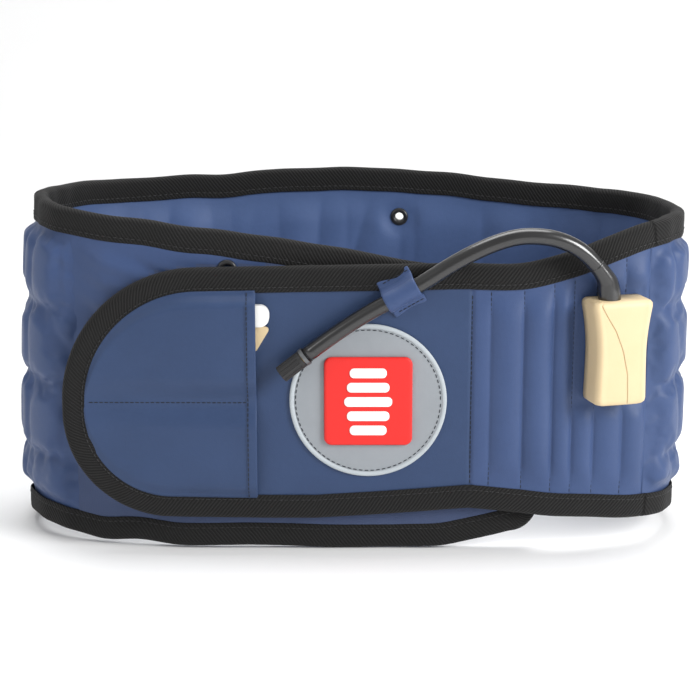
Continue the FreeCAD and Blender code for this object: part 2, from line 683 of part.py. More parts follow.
def on_front(shape):
    """Moves a piece made about the housing's foot, facing -Y, to its place on the belt."""
    shape.rotate(Vector(0, 0, 0), Vector(0, 0, 1), housing_turn)
    shape.translate(Vector(housing_foot.x, housing_foot.y, housing_middle))
    return shape


def housing_outline(inset):
    half_top = HOUSING_TOP_WIDTH / 2 - inset
    half_waist = HOUSING_WAIST / 2 - inset
    half_bottom = HOUSING_BOTTOM_WIDTH / 2 - inset
    top = half_height - inset
    corner = HOUSING_CORNER - inset
    waist = HOUSING_WAIST_RISE
    bend = HOUSING_WAIST_RADIUS
    return rounded([(-half_top, top, corner), (half_top, top, corner), (half_waist, waist, bend),
                    (half_bottom, -top, corner), (-half_bottom, -top, corner),
                    (-half_waist, waist, bend)])


def housing_block(low, high, inset):
    face = Part.Face(housing_outline(inset))
    face.translate(Vector(0, -low, 0))
    return face.extrude(Vector(0, low - high, 0))


elbow_depth = HOUSING_DEPTH / 2 - 0.5
back_shell = housing_block(0, HOUSING_SPLIT, 0)
back_shell = back_shell.cut(housing_block(HOUSING_WALL, HOUSING_DEPTH, HOUSING_WALL))
front_shell = housing_block(HOUSING_SPLIT, HOUSING_DEPTH, 0)
rim = [edge for edge in front_shell.Edges
       if all(abs(vertex.Point.y + HOUSING_DEPTH) < 1e-6 for vertex in edge.Vertexes)]
front_shell = front_shell.makeFillet(HOUSING_RIM_ROUND, rim)
front_shell = front_shell.cut(housing_block(0, HOUSING_DEPTH - HOUSING_WALL, HOUSING_WALL))
exit_hole = Part.makeCylinder(PORT_RADIUS + FIT, 20.0, Vector(HOUSING_EXIT_X, -elbow_depth, half_height - 8),
                              Vector(0, 0, 1))
port_hole = Part.makeCylinder(PORT_RADIUS + FIT, 20.0, Vector(HOUSING_EXIT_X, 5, 0), Vector(0, -1, 0))
elbow_turn = Vector(HOUSING_EXIT_X, -elbow_depth, 0)
elbow_up = Part.makeCylinder(PORT_RADIUS, half_height + ELBOW_TOP, elbow_turn, Vector(0, 0, 1))
elbow_in = Part.makeCylinder(PORT_RADIUS, elbow_depth + GAP, Vector(HOUSING_EXIT_X, GAP, 0), Vector(0, -1, 0))
elbow = elbow_up.fuse(elbow_in).fuse(Part.makeSphere(PORT_RADIUS, elbow_turn))
bore_radius = PORT_RADIUS - ELBOW_WALL
bore_up = Part.makeCylinder(bore_radius, half_height + 6.0, elbow_turn, Vector(0, 0, 1))
bore_in = Part.makeCylinder(bore_radius, elbow_depth + 2, Vector(HOUSING_EXIT_X, 2, 0), Vector(0, -1, 0))
add("inlet_elbow", on_front(elbow.cut(bore_up).cut(bore_in).removeSplitter()))


def post(x, z, radius, low, high):
    """A cylinder about a screw's axis, between two distances outwards from the housing's foot."""
    return Part.makeCylinder(radius, high - low, Vector(x, -low, z), Vector(0, -1, 0))


screws = []
for x, z in SCREW_PLACES:
    boss = post(x, z, BOSS_RADIUS, HOUSING_SPLIT, HOUSING_DEPTH - HOUSING_WALL)
    front_shell = front_shell.fuse(boss).cut(post(x, z, SCREW_RADIUS + SCREW_TIGHT, -1, SCREW_HOLE_DEPTH))
    back_shell = back_shell.fuse(post(x, z, BOSS_RADIUS, HOUSING_WALL, HOUSING_SPLIT))
    back_shell = back_shell.cut(post(x, z, SCREW_RADIUS + SCREW_LOOSE, -1, HOUSING_DEPTH - 1))
    back_shell = back_shell.cut(post(x, z, SCREW_HEAD_RADIUS + SCREW_HEAD_PLAY, -FIT, SCREW_HEAD_THICK + FIT))
    head = post(x, z, SCREW_HEAD_RADIUS, 0, SCREW_HEAD_THICK)
    screws.append(on_front(head.fuse(post(x, z, SCREW_RADIUS, 0, SCREW_LENGTH))))
front_shell = front_shell.cut(exit_hole)
back_shell = back_shell.cut(exit_hole).cut(port_hole)
add("housing_front", on_front(front_shell.removeSplitter()))
add("housing_back", on_front(back_shell.removeSplitter()))
add("housing_screws", Part.makeCompound(screws))

# Tapered boot between the housing's top and the hose.
boot_low = housing_foot + Vector(math.sin(housing_heading), -math.cos(housing_heading), 0) * elbow_depth
boot_low += Vector(math.cos(housing_heading), math.sin(housing_heading), 0) * HOUSING_EXIT_X
boot_low.z = HOUSING_HIGH
boot_high = Vector(*HOSE_ROUTE[0])
boot_top_axis = (Vector(*HOSE_ROUTE[1]) - boot_high).normalize()
low_ring = Part.Wire(Part.Circle(boot_low, Vector(0, 0, 1), BOOT_LOW_RADIUS).toShape())
high_ring = Part.Wire(Part.Circle(boot_high, boot_top_axis, BOOT_HIGH_RADIUS).toShape())
boot = Part.makeLoft([low_ring, high_ring], True)
boot_hole = Part.makeCylinder(PORT_RADIUS + FIT, 4.2, Vector(boot_low.x, boot_low.y, HOUSING_HIGH - 0.1),
                              Vector(0, 0, 1))
add("hose_boot", boot.cut(boot_hole))


# ---------------------------------------------------------------- eyelets
def eyelet_place(stretch, distance, offset):
    """Where an eyelet goes on a stretch of wall, and which way is outwards there."""
    point, heading = stretch.at(distance, offset)
    return point, Vector(math.sin(heading), -math.cos(heading), 0)


def eyelet_ring(point, outward, proud):
    flange = Part.makeCylinder(EYELET_RADIUS, EYELET_FLANGE, point, outward)
    barrel = Part.makeCylinder(EYELET_HOLE + EYELET_BARREL, proud, point, outward * -1)
    hole = Part.makeCylinder(EYELET_HOLE, 20, point - outward * 10, outward)
    return flange.fuse(barrel).cut(hole)


punched = EYELET_HOLE + EYELET_BARREL + FIT
back_place, back_out = eyelet_place(back_line[0], BACK_LENGTH * BACK_EYELET_SHARE, -COVER_OUT - GAP / 2)
back_place.z = BACK_EYELET_HEIGHT
back_in = back_out * -1
add("back_eyelet", eyelet_ring(back_place, back_in, CLOTH + GAP / 2))
back_hole = Part.makeCylinder(punched, 4, back_place - back_in * 2, back_in)
nodes["back_lining"] = nodes["back_lining"].cut(back_hole)
under_place, under_out = eyelet_place(under_line[1], UNDER_EYELET_ALONG, COVER_OUT)
under_place.z = UNDER_TOP.height(under_place.x) - UNDER_EYELET_DROP
print("under eyelet height", round(under_place.z, 2))
add("under_eyelet", eyelet_ring(under_place + under_out * pile_thick, under_out, pile_thick + CLOTH))
under_hole = Part.makeCylinder(punched, 6, under_place - under_out * 2, under_out)
for name in ("under_cover", "loop_pile"):
    nodes[name] = nodes[name].cut(under_hole)

# ---------------------------------------------------------------- output
on_hose = ["hose", "hose_ferrule", "valve_stem", "valve_core", "valve_spring", "valve_pin",
           "valve_cap", "cap_gasket"]
everything = Part.makeCompound([shape for name, shape in nodes.items() if name not in on_hose])
box = everything.BoundBox
print("box", [round(value, 2) for value in (box.XMin, box.XMax, box.YMin, box.YMax, box.ZMin, box.ZMax)])
for name, shape in nodes.items():
    shape.exportStep("parts/" + name + ".step")
    if not shape.isValid():
        print("not valid:", name)
print(len(nodes), "nodes")
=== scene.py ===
# %% [markdown]
# # An inflatable lumbar support belt
# The belt is a padded band of coated cloth, closed into an oval ring that stands on its lower edge.
# Its front flap laps over the other end of the band and carries a pocket, a round patch and the valve
# end of a short rubber hose. The imported model fixes where each part goes. This file sews the cloth,
# the tapes and the small parts over it. The pieces that cross the flap's seam are left in place on no body,
# and every other piece rides on the body that it belongs to.

# %% Load the imported model
import math

import bpy
import numpy as np
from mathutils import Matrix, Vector


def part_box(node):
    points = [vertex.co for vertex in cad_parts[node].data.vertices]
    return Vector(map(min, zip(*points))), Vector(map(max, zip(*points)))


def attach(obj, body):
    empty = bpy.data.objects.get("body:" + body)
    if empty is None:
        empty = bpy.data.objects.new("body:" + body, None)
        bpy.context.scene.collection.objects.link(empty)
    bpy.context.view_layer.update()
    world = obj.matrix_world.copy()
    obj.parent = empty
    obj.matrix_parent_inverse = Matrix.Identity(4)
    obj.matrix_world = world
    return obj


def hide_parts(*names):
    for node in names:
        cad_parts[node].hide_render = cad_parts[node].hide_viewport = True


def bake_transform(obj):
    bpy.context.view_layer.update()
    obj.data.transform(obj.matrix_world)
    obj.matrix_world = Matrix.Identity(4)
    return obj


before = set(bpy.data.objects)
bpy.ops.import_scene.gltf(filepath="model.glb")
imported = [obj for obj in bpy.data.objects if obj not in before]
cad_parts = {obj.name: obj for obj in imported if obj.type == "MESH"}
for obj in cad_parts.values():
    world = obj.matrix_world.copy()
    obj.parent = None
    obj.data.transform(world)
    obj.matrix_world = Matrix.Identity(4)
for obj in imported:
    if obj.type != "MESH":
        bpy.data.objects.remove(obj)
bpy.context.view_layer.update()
MM = 0.001

# %% [markdown]
# # Camera
# The belt is seen from straight ahead and a little above, from just over a metre away. A long lens
# keeps the ring's front and back close in size, as a product camera does.

# %% Camera
CAMERA_DISTANCE = 1.15
CAMERA_PITCH = math.radians(13.5)
AIM = Vector((0.0, 0.0184, 0.100))
SENSOR_WIDTH, LENS = 36.0, 93.06        # both in millimetres
back_away = Vector((0, -math.cos(CAMERA_PITCH), math.sin(CAMERA_PITCH)))
camera = bpy.data.objects.new("camera", bpy.data.cameras.new("camera"))
bpy.context.scene.collection.objects.link(camera)
camera.data.sensor_width = SENSOR_WIDTH
camera.data.lens = LENS
camera.data.shift_x = -0.00143
camera.data.shift_y = 0.00429
camera.location = AIM + back_away * CAMERA_DISTANCE
camera.rotation_euler = (math.pi / 2 - CAMERA_PITCH, 0, 0)
bpy.context.scene.camera = camera
bpy.context.scene.view_settings.view_transform = "Standard"
print("camera stands at", [round(v, 3) for v in camera.location])

# %% [markdown]
# # The wall's line
# Seen from above, the band is one line of arcs and straights: from the front seam round the right
# side, along the back, round the left side and in under the flap. Points on the line are found by
# adding up short steps, because the band's layers are all the same line moved outwards or inwards.
# Distances to the left of the seam are negative and belong to the flap.

# %% Plan line
SEAM_X = 70.2 * MM
MIDDLE_TO_FACE = 2.6 * MM
FRONT_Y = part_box("flap_cover")[0].y + MIDDLE_TO_FACE
LAP = 8.6 * MM
UNDER_END_LENGTH = 42            # how far the under layer runs on past the seam, in millimetres
FLAP_TIP = -169.5 * MM
CELLS = [(88, 17), (20, 15)]
RIGHT = [(14, 23), (89.5, 78), (54, 30)]
BACK = [(277.5, 34)]
LEFT = [(54, 30), (89.5, 78), (34, 38)]
UNDER_CURVE = [(88, 17)]


def walk(stretches, x, y, heading):
    """Distance, x, y and heading every quarter millimetre along stretches of (length, turn)."""
    marks = np.cumsum([0.0] + [length * MM for length, turn in stretches])
    turns = heading + np.radians(np.cumsum([0.0] + [turn for length, turn in stretches]))
    s = np.linspace(0, marks[-1], int(marks[-1] / (0.25 * MM)) + 2)
    h = np.interp(s, marks, turns)
    middle = (h[1:] + h[:-1]) / 2
    step = np.diff(s)
    px = x + np.concatenate([[0], np.cumsum(np.cos(middle) * step)])
    py = y + np.concatenate([[0], np.cumsum(np.sin(middle) * step)])
    return s, px, py, h


s, px, py, h = walk(CELLS + RIGHT + BACK, SEAM_X, FRONT_Y, 0.0)
side_y, side_heading = walk(LEFT, 0, 0, h[-1])[2:]
curve_y = walk(UNDER_CURVE, 0, 0, side_heading[-1])[2]
left_factor = (FRONT_Y + LAP - py[-1] - curve_y[-1]) / side_y[-1]
LEFT_FITTED = [(length * left_factor, turn) for length, turn in LEFT]
ROUND = CELLS + RIGHT + BACK + LEFT_FITTED + UNDER_CURVE
s, px, py, h = walk(ROUND, SEAM_X, FRONT_Y, 0.0)
flap_length = SEAM_X - FLAP_TIP
front_radius = CELLS[0][0] * MM / math.radians(CELLS[0][1])
end_turn = math.degrees(UNDER_END_LENGTH * MM / (front_radius - LAP))
UNDER_RUN = [((SEAM_X - px[-1]) / MM, 0), (UNDER_END_LENGTH, end_turn)]
s, px, py, h = walk(ROUND + UNDER_RUN, SEAM_X, FRONT_Y, 0.0)
line_s = np.concatenate([[-flap_length], s])
line_x = np.concatenate([[FLAP_TIP], px])
line_y = np.concatenate([[FRONT_Y], py])
line_h = np.concatenate([[0.0], h])
lengths = [sum(length for length, turn in part) * MM for part in (CELLS, RIGHT, BACK, LEFT_FITTED)]
S_CELLS, S_RIGHT, S_BACK, S_LEFT = np.cumsum(lengths)
S_END = line_s[-1]
print("left side fitted by", round(left_factor, 4), "and the band ends at", round(S_END, 4))


def place(s, offset, z):
    """Points at distance s along the band, offset outwards from its middle, at height z."""
    s, offset, z = np.broadcast_arrays(s, offset, z)
    heading = np.interp(s, line_s, line_h)
    offset = offset + lean(s, z)
    x = np.interp(s, line_s, line_x) + offset * np.sin(heading)
    y = np.interp(s, line_s, line_y) - offset * np.cos(heading)
    return np.stack([x, y, z], axis=-1)


def step_up(value, start, end):
    """0 before start, 1 after end, smooth between."""
    t = np.clip((value - start) / (end - start), 0, 1)
    return t * t * (3 - 2 * t)


def lean(s, z):
    """The left side leans in at its top, and the right side leans out a little."""
    left = step_up(s, S_BACK - 0.02, S_BACK + 0.07) * (1 - step_up(s, S_LEFT - 0.05, S_LEFT + 0.02))
    right = step_up(s, S_CELLS, S_CELLS + 0.05) * (1 - step_up(s, S_RIGHT - 0.05, S_RIGHT))
    rise = np.clip(z / 0.2, 0, 1)
    return -9.0 * MM * left * rise ** 2 - 1.0 * MM * right * rise


def ripples(u, v, length_u, length_v, seed, count=14):
    """A smooth random surface of about unit height, from a few seeded waves."""
    rng = np.random.default_rng(seed)
    total = 0
    for _ in range(count):
        turn_u, turn_v = rng.normal(0, 1, 2)
        phase = rng.uniform(0, 2 * math.pi)
        total = total + np.cos(2 * math.pi * (turn_u * u / length_u + turn_v * v / length_v) * 0.6 + phase)
    return total / math.sqrt(count)


# %% [markdown]
# # Edge heights
# The band's upper and lower edges aren't level: the front rises towards the right, and the layer
# under the flap drops towards its end. Each edge is a list of marks, joined and then smoothed, and
# the upper edge also gets the small waves that a taped cloth edge keeps.

# %% Edge heights
def at_x(x, start, end):
    """Distance along the band at which the stretch from start to end passes x."""
    inside = (line_s >= start) & (line_s <= end)
    xs, ss = line_x[inside], line_s[inside]
    order = np.argsort(xs)
    return float(np.interp(x * MM, xs[order], ss[order]))


def marks(front, right, back, left, under):
    """Height marks as (distance, height), from lists of (x or distance, height) in millimetres."""
    out = [(at_x(x, 0, S_CELLS), z) for x, z in front]
    out += [(S_CELLS + at * MM, z) for at, z in right]
    out += [(at_x(x, S_RIGHT + 0.001, S_BACK - 0.001), z) for x, z in back]
    out += [(S_BACK + at * MM, z) for at, z in left]
    out += [(at_x(x, S_LEFT, S_END), z) for x, z in under]
    return np.array(out)


top_marks = marks(
    [(70.2, 176), (85, 175.5), (102, 176.5), (121, 180), (144, 188.5), (169, 196)],
    [(20, 198), (55, 199), (100, 200), (150, 200)],
    [(150, 200), (137, 200), (105, 202.5), (78, 205), (32, 208), (-7, 209.5), (-44, 209.5), (-80, 206),
     (-122, 206), (-150, 205)],
    [(20, 206), (60, 207), (105, 207), (140, 206)],
    [(-160, 203), (-147, 201), (-117, 198), (-87, 194.5), (-70, 193), (-29, 187.5), (28, 176.5),
     (51, 173), (111, 168)])
bottom_marks = marks(
    [(70.2, 28), (88, 26), (119, 21.5), (150, 18.5), (164, 16.5)],
    [(20, 14), (50, 9.5), (90, 6), (140, 1.5)],
    [(140, 0.6), (100, 0.6), (-100, 0.6), (-160, 0.6)],
    [(40, 0.6), (90, 3), (120, 9), (145, 7)],
    [(-160, 4), (-150, 2), (-128, 4.5), (-105, 0.8), (-60, 1.8), (-20, 0.6), (30, 0.8), (55, 1.0), (111, 14)])
fine_s = np.arange(0, S_END, MM)
kernel = np.exp(-np.linspace(-2, 2, 31) ** 2)
kernel /= kernel.sum()


def smoothed(table):
    """The marks joined by straight lines and then softened over 3 cm."""
    z = np.interp(fine_s, table[:, 0], table[:, 1]) * MM
    return np.convolve(np.pad(z, 15, mode="edge"), kernel, mode="valid")


top_line = smoothed(top_marks) + 0.5 * MM * ripples(fine_s, 0, 0.07, 1, 3)
bottom_line = smoothed(bottom_marks)
TOP_SLOPE = 0.018
TOP_RADIUS = 81 * MM
BOTTOM_RADIUS = 64 * MM
SEAM_TOP = 176 * MM
SEAM_BOTTOM = 28 * MM
LOWEST_X, LOWEST = -20 * MM, 21 * MM
TIP_BOTTOM = 23.5 * MM


def flap_top(x):
    """Height of the flap's upper outline at x."""
    centre = FLAP_TIP + TOP_RADIUS
    level = SEAM_TOP + TOP_SLOPE * (np.maximum(x, centre) - SEAM_X)
    reach = np.clip(centre - x, 0, TOP_RADIUS)
    return level - TOP_RADIUS + np.sqrt(TOP_RADIUS ** 2 - reach ** 2)


def flap_bottom(x):
    """Height of the flap's lower outline at x."""
    centre = FLAP_TIP + BOTTOM_RADIUS
    far = np.maximum(x, centre)
    left = LOWEST + (TIP_BOTTOM - LOWEST) * (LOWEST_X - far) / (LOWEST_X - FLAP_TIP)
    right = LOWEST + (SEAM_BOTTOM - LOWEST) * (far - LOWEST_X) / (SEAM_X - LOWEST_X)
    level = np.maximum(left, right) + 0.6 * MM * np.exp(-((far - LOWEST_X) / (25 * MM)) ** 2)
    reach = np.clip(centre - x, 0, BOTTOM_RADIUS)
    return level + BOTTOM_RADIUS - np.sqrt(BOTTOM_RADIUS ** 2 - reach ** 2)


def top_at(s):
    """Height of the upper edge anywhere on the band."""
    return np.where(s < 0, flap_top(SEAM_X + s), np.interp(s, fine_s, top_line))


def bottom_at(s):
    """Height of the lower edge anywhere on the band."""
    return np.where(s < 0, flap_bottom(SEAM_X + s), np.interp(s, fine_s, bottom_line))


print("edges run from", round(bottom_line.min(), 4), "to", round(top_line.max(), 4))

# %% [markdown]
# # Building pieces
# Cloth is built as grids of points, tapes and tubes as sections carried along a line, and moulded
# parts as outlines that shrink a little at each level. These helpers turn arrays of points into
# smooth meshes, with a UV map in metres so that a weave has the same size everywhere.

# %% Mesh helpers
def travelled(line):
    """Distance along a line of points, from its first point."""
    return np.concatenate([[0], np.cumsum(np.linalg.norm(np.diff(line, axis=0), axis=1))])


def directions(line):
    """The unit direction of a line at each of its points."""
    along = np.gradient(line, axis=0)
    return along / np.linalg.norm(along, axis=1)[:, None]


def closed_faces(count, ring, flip=False):
    """Faces of a run of closed rings, with both ends capped."""
    faces = [tuple(face) for face in grid_faces(count, ring, close_rows=True, flip=flip)]
    return faces + [tuple(range(ring)), tuple(range(count * ring - 1, (count - 1) * ring - 1, -1))]


def make_piece(name, points, faces, uv=None, material=None):
    """An object from points, faces and, for each point, a UV in metres."""
    mesh = bpy.data.meshes.new(name)
    mesh.from_pydata(np.asarray(points, float).tolist(), [], [list(f) for f in faces])
    if uv is not None:
        layer = mesh.uv_layers.new(name="metres")
        corner = np.empty(len(mesh.loops), int)
        mesh.loops.foreach_get("vertex_index", corner)
        layer.data.foreach_set("uv", np.asarray(uv, np.float32)[corner].ravel())
    mesh.shade_smooth()
    if material:
        mesh.materials.append(material)
    piece = bpy.data.objects.new(name, mesh)
    bpy.context.scene.collection.objects.link(piece)
    print(name, len(mesh.vertices), "points")
    return piece


def grid_faces(columns, rows, close_columns=False, close_rows=False, flip=False):
    """Quads of a grid whose point (i, j) has the number i * rows + j."""
    i = np.arange(columns if close_columns else columns - 1)
    j = np.arange(rows if close_rows else rows - 1)
    i, j = np.meshgrid(i, j, indexing="ij")
    i, j = i.ravel(), j.ravel()
    i2, j2 = (i + 1) % columns, (j + 1) % rows
    quads = np.stack([i * rows + j, i2 * rows + j, i2 * rows + j2, i * rows + j2], axis=1)
    return quads[:, ::-1] if flip else quads


def grid_piece(name, points, uv, material, flip=False, keep=None):
    """A sheet from points[column][row]. keep says which faces stay, from the points round each."""
    columns, rows = points.shape[:2]
    quads = grid_faces(columns, rows, flip=flip)
    flat = points.reshape(-1, 3)
    if keep is not None:
        quads = quads[keep(flat[quads].mean(axis=1))]
    return make_piece(name, flat, quads, uv.reshape(-1, 2), material)


def smoother(piece, levels=1):
    """Rounds a mesh by subdivision."""
    modifier = piece.modifiers.new("round", "SUBSURF")
    modifier.levels = modifier.render_levels = levels
    return piece


def sweep(name, centres, sections, ups, outs, material):
    """A closed section of (out, up) points carried along centres. sections is [station][point][2]."""
    points = centres[:, None] + outs[:, None] * sections[..., :1] + ups[:, None] * sections[..., 1:]
    count, ring = points.shape[:2]
    faces = closed_faces(count, ring)
    sections = np.broadcast_to(sections, (count, ring, 2))
    travel = np.concatenate([[0], np.cumsum(np.linalg.norm(np.diff(centres, axis=0), axis=1))])
    across = np.concatenate([[0], np.cumsum(np.linalg.norm(np.diff(sections[0], axis=0), axis=1))])
    uv = np.stack(np.meshgrid(travel, across, indexing="ij"), axis=-1)
    return make_piece(name, points.reshape(-1, 3), faces, uv.reshape(-1, 2), material)


def outline_normals(outline):
    """Outward normals of a closed outline that runs anticlockwise."""
    before, after = np.roll(outline, 1, axis=0), np.roll(outline, -1, axis=0)
    along = after - before
    along /= np.linalg.norm(along, axis=1)[:, None]
    return np.stack([along[:, 1], -along[:, 0]], axis=1)


def slab(name, outline, levels, to_world, material):
    """A moulded plate: the outline, moved in by each level's inset at each level's height."""
    normals = outline_normals(outline)
    rings = [np.column_stack([outline - normals * inset, np.full(len(outline), height)])
             for inset, height in levels]
    points = to_world(np.concatenate(rings))
    ring = len(outline)
    faces = [tuple(f) for f in grid_faces(len(levels), ring, close_rows=True, flip=True)]
    faces += [tuple(range((len(levels) - 1) * ring, len(levels) * ring))]
    faces += [tuple(reversed(range(ring)))]
    return make_piece(name, points, faces, np.concatenate(rings)[:, :2], material)


def rounded_outline(corners, steps=8):
    """An outline, anticlockwise, from (x, z, radius) corners in millimetres."""
    out = []
    for index, (x, z, radius) in enumerate(corners):
        here = np.array([x, z], float)
        before = np.array(corners[index - 1][:2], float) - here
        after = np.array(corners[(index + 1) % len(corners)][:2], float) - here
        before /= np.linalg.norm(before)
        after /= np.linalg.norm(after)
        half = math.acos(np.clip(before @ after, -1, 1)) / 2
        middle = here + (before + after) / np.linalg.norm(before + after) * radius / math.sin(half)
        first = here + before * radius / math.tan(half) - middle
        angle = math.atan2(first[1], first[0])
        for step in range(steps + 1):
            turn = angle + (math.pi - 2 * half) * step / steps
            out.append(middle + radius * np.array([math.cos(turn), math.sin(turn)]))
    return np.array(out) * MM


def rounded_box(low, high, radius, steps=8):
    """The outline of a box seen from the front, with its corners' radius in millimetres."""
    x0, x1, z0, z1 = low[0] / MM, high[0] / MM, low[2] / MM, high[2] / MM
    return rounded_outline([(x0, z0, radius), (x1, z0, radius), (x1, z1, radius), (x0, z1, radius)], steps)


def on_flap(points):
    """From (x, z, distance out from the wall's middle) to the flap, which is flat."""
    return np.column_stack([points[:, 0], FRONT_Y - points[:, 2], points[:, 1]])


def divided(outline, step):
    """The same closed outline with points no further apart than step."""
    out = []
    for here, there in zip(outline, np.roll(outline, -1, axis=0)):
        count = max(1, int(np.linalg.norm(there - here) / step))
        out += [here + (there - here) * k / count for k in range(count)]
    return np.array(out)

# %% [markdown]
# # Shared surface effects
# Three effects turn up in several finishes: the fine grain of coated cloth with soft tone changes, the
# slanting ribs of twill tape, and the rubbed, slightly dusty look of moulded parts. Each is one node
# group with its own inputs, so that a finish only sets its values.

# %% Node groups
def new_group(name, inputs, outputs):
    """An empty shader node group with the named sockets: (name, kind, default)."""
    group = bpy.data.node_groups.new(name, "ShaderNodeTree")
    for label, kind, default in inputs:
        socket = group.interface.new_socket(label, in_out="INPUT", socket_type=kind)
        socket.default_value = default
    for label, kind in outputs:
        group.interface.new_socket(label, in_out="OUTPUT", socket_type=kind)
    return group, group.nodes.new("NodeGroupInput"), group.nodes.new("NodeGroupOutput")


def node(tree, kind, **settings):
    made = tree.nodes.new(kind)
    for key, value in settings.items():
        if key in made.inputs:
            made.inputs[key].default_value = value
        else:
            setattr(made, key, value)
    return made


def maths(tree, operation, first, second):
    made = tree.nodes.new("ShaderNodeMath")
    made.operation = operation
    for socket, value in zip(made.inputs, (first, second)):
        if isinstance(value, (int, float)):
            socket.default_value = value
        else:
            tree.links.new(value, socket)
    return made.outputs[0]


def mixed(tree, factor, first, second, blend="MIX"):
    made = tree.nodes.new("ShaderNodeMix")
    made.data_type = "RGBA"
    made.blend_type = blend
    for socket, value in ((made.inputs[0], factor), (made.inputs[6], first), (made.inputs[7], second)):
        if isinstance(value, (int, float, tuple)):
            socket.default_value = value
        else:
            tree.links.new(value, socket)
    return made.outputs[2]


def coated_cloth_group():
    """Fine grain with soft tone changes. Reads a place in metres."""
    group, given, made = new_group(
        "coated cloth grain",
        [("Place", "NodeSocketVector", (0, 0, 0)), ("Colour", "NodeSocketColor", (0.05, 0.08, 0.2, 1)),
         ("Light tone", "NodeSocketColor", (0.1, 0.15, 0.3, 1)),
         ("Grain per metre", "NodeSocketFloat", 1600.0),
         ("Depth", "NodeSocketFloat", 0.3), ("Roughness", "NodeSocketFloat", 0.5)],
        [("Colour", "NodeSocketColor"), ("Roughness", "NodeSocketFloat"), ("Normal", "NodeSocketVector")])
    link = group.links.new
    soft = node(group, "ShaderNodeTexNoise", Scale=28.0, Detail=3.0, Roughness=0.6)
    fine = node(group, "ShaderNodeTexNoise", Detail=2.0, Roughness=0.5)
    weave = node(group, "ShaderNodeTexVoronoi", feature="F1", Randomness=0.35)
    link(given.outputs["Place"], soft.inputs["Vector"])
    link(given.outputs["Place"], fine.inputs["Vector"])
    link(given.outputs["Place"], weave.inputs["Vector"])
    link(given.outputs["Grain per metre"], weave.inputs["Scale"])
    link(maths(group, "MULTIPLY", given.outputs["Grain per metre"], 0.25), fine.inputs["Scale"])
    tone = maths(group, "MULTIPLY", soft.outputs["Fac"], 0.8)
    speck = maths(group, "MULTIPLY", fine.outputs["Fac"], 0.3)
    amount = maths(group, "ADD", tone, speck)
    link(mixed(group, amount, given.outputs["Colour"], given.outputs["Light tone"]), made.inputs["Colour"])
    uneven = maths(group, "MULTIPLY", fine.outputs["Fac"], 0.12)
    link(maths(group, "ADD", given.outputs["Roughness"], uneven), made.inputs["Roughness"])
    height = maths(group, "ADD", weave.outputs["Distance"], fine.outputs["Fac"])
    bump = node(group, "ShaderNodeBump", Distance=0.0004)
    link(given.outputs["Depth"], bump.inputs["Strength"])
    link(height, bump.inputs["Height"])
    link(bump.outputs["Normal"], made.inputs["Normal"])
    return group


def twill_group():
    """Slanting ribs across a tape, from a UV in metres."""
    group, given, made = new_group(
        "twill ribs",
        [("Place", "NodeSocketVector", (0, 0, 0)), ("Colour", "NodeSocketColor", (0.01, 0.01, 0.01, 1)),
         ("Rib tone", "NodeSocketColor", (0.03, 0.03, 0.03, 1)), ("Ribs per metre", "NodeSocketFloat", 520.0),
         ("Depth", "NodeSocketFloat", 0.6)],
        [("Colour", "NodeSocketColor"), ("Roughness", "NodeSocketFloat"), ("Normal", "NodeSocketVector")])
    link = group.links.new
    turned = node(group, "ShaderNodeMapping", Rotation=(0, 0, math.radians(38)))
    ribs = node(group, "ShaderNodeTexWave", Distortion=1.2, Detail=1.0)
    threads = node(group, "ShaderNodeTexNoise", Scale=2600.0, Detail=2.0)
    link(given.outputs["Place"], turned.inputs["Vector"])
    link(turned.outputs["Vector"], ribs.inputs["Vector"])
    link(given.outputs["Place"], threads.inputs["Vector"])
    link(maths(group, "MULTIPLY", given.outputs["Ribs per metre"], 0.318), ribs.inputs["Scale"])
    worn = maths(group, "MULTIPLY", ribs.outputs["Fac"], threads.outputs["Fac"])
    link(mixed(group, worn, given.outputs["Colour"], given.outputs["Rib tone"]), made.inputs["Colour"])
    link(maths(group, "SUBTRACT", 0.92, maths(group, "MULTIPLY", worn, 0.25)), made.inputs["Roughness"])
    height = maths(group, "ADD", ribs.outputs["Fac"], maths(group, "MULTIPLY", threads.outputs["Fac"], 0.5))
    bump = node(group, "ShaderNodeBump", Distance=0.0005)
    link(given.outputs["Depth"], bump.inputs["Strength"])
    link(height, bump.inputs["Height"])
    link(bump.outputs["Normal"], made.inputs["Normal"])
    return group


def handled_group():
    """Faint mottling, fine scuffs and a little dust on a moulded or painted part."""
    group, given, made = new_group(
        "handled surface",
        [("Place", "NodeSocketVector", (0, 0, 0)), ("Colour", "NodeSocketColor", (0.5, 0.5, 0.5, 1)),
         ("Worn tone", "NodeSocketColor", (0.6, 0.6, 0.6, 1)), ("Scuffs", "NodeSocketFloat", 0.3),
         ("Roughness", "NodeSocketFloat", 0.4), ("Texture per metre", "NodeSocketFloat", 900.0)],
        [("Colour", "NodeSocketColor"), ("Roughness", "NodeSocketFloat"), ("Normal", "NodeSocketVector")])
    link = group.links.new
    mottle = node(group, "ShaderNodeTexNoise", Scale=60.0, Detail=4.0, Roughness=0.65)
    texture = node(group, "ShaderNodeTexNoise", Detail=3.0)
    link(given.outputs["Place"], mottle.inputs["Vector"])
    link(given.outputs["Place"], texture.inputs["Vector"])
    link(given.outputs["Texture per metre"], texture.inputs["Scale"])
    amount = maths(group, "MULTIPLY", mottle.outputs["Fac"], given.outputs["Scuffs"])
    link(mixed(group, amount, given.outputs["Colour"], given.outputs["Worn tone"]), made.inputs["Colour"])
    rough = maths(group, "ADD", given.outputs["Roughness"], maths(group, "MULTIPLY", amount, 0.5))
    link(rough, made.inputs["Roughness"])
    bump = node(group, "ShaderNodeBump", Strength=0.15, Distance=0.0003)
    link(texture.outputs["Fac"], bump.inputs["Height"])
    link(bump.outputs["Normal"], made.inputs["Normal"])
    return group


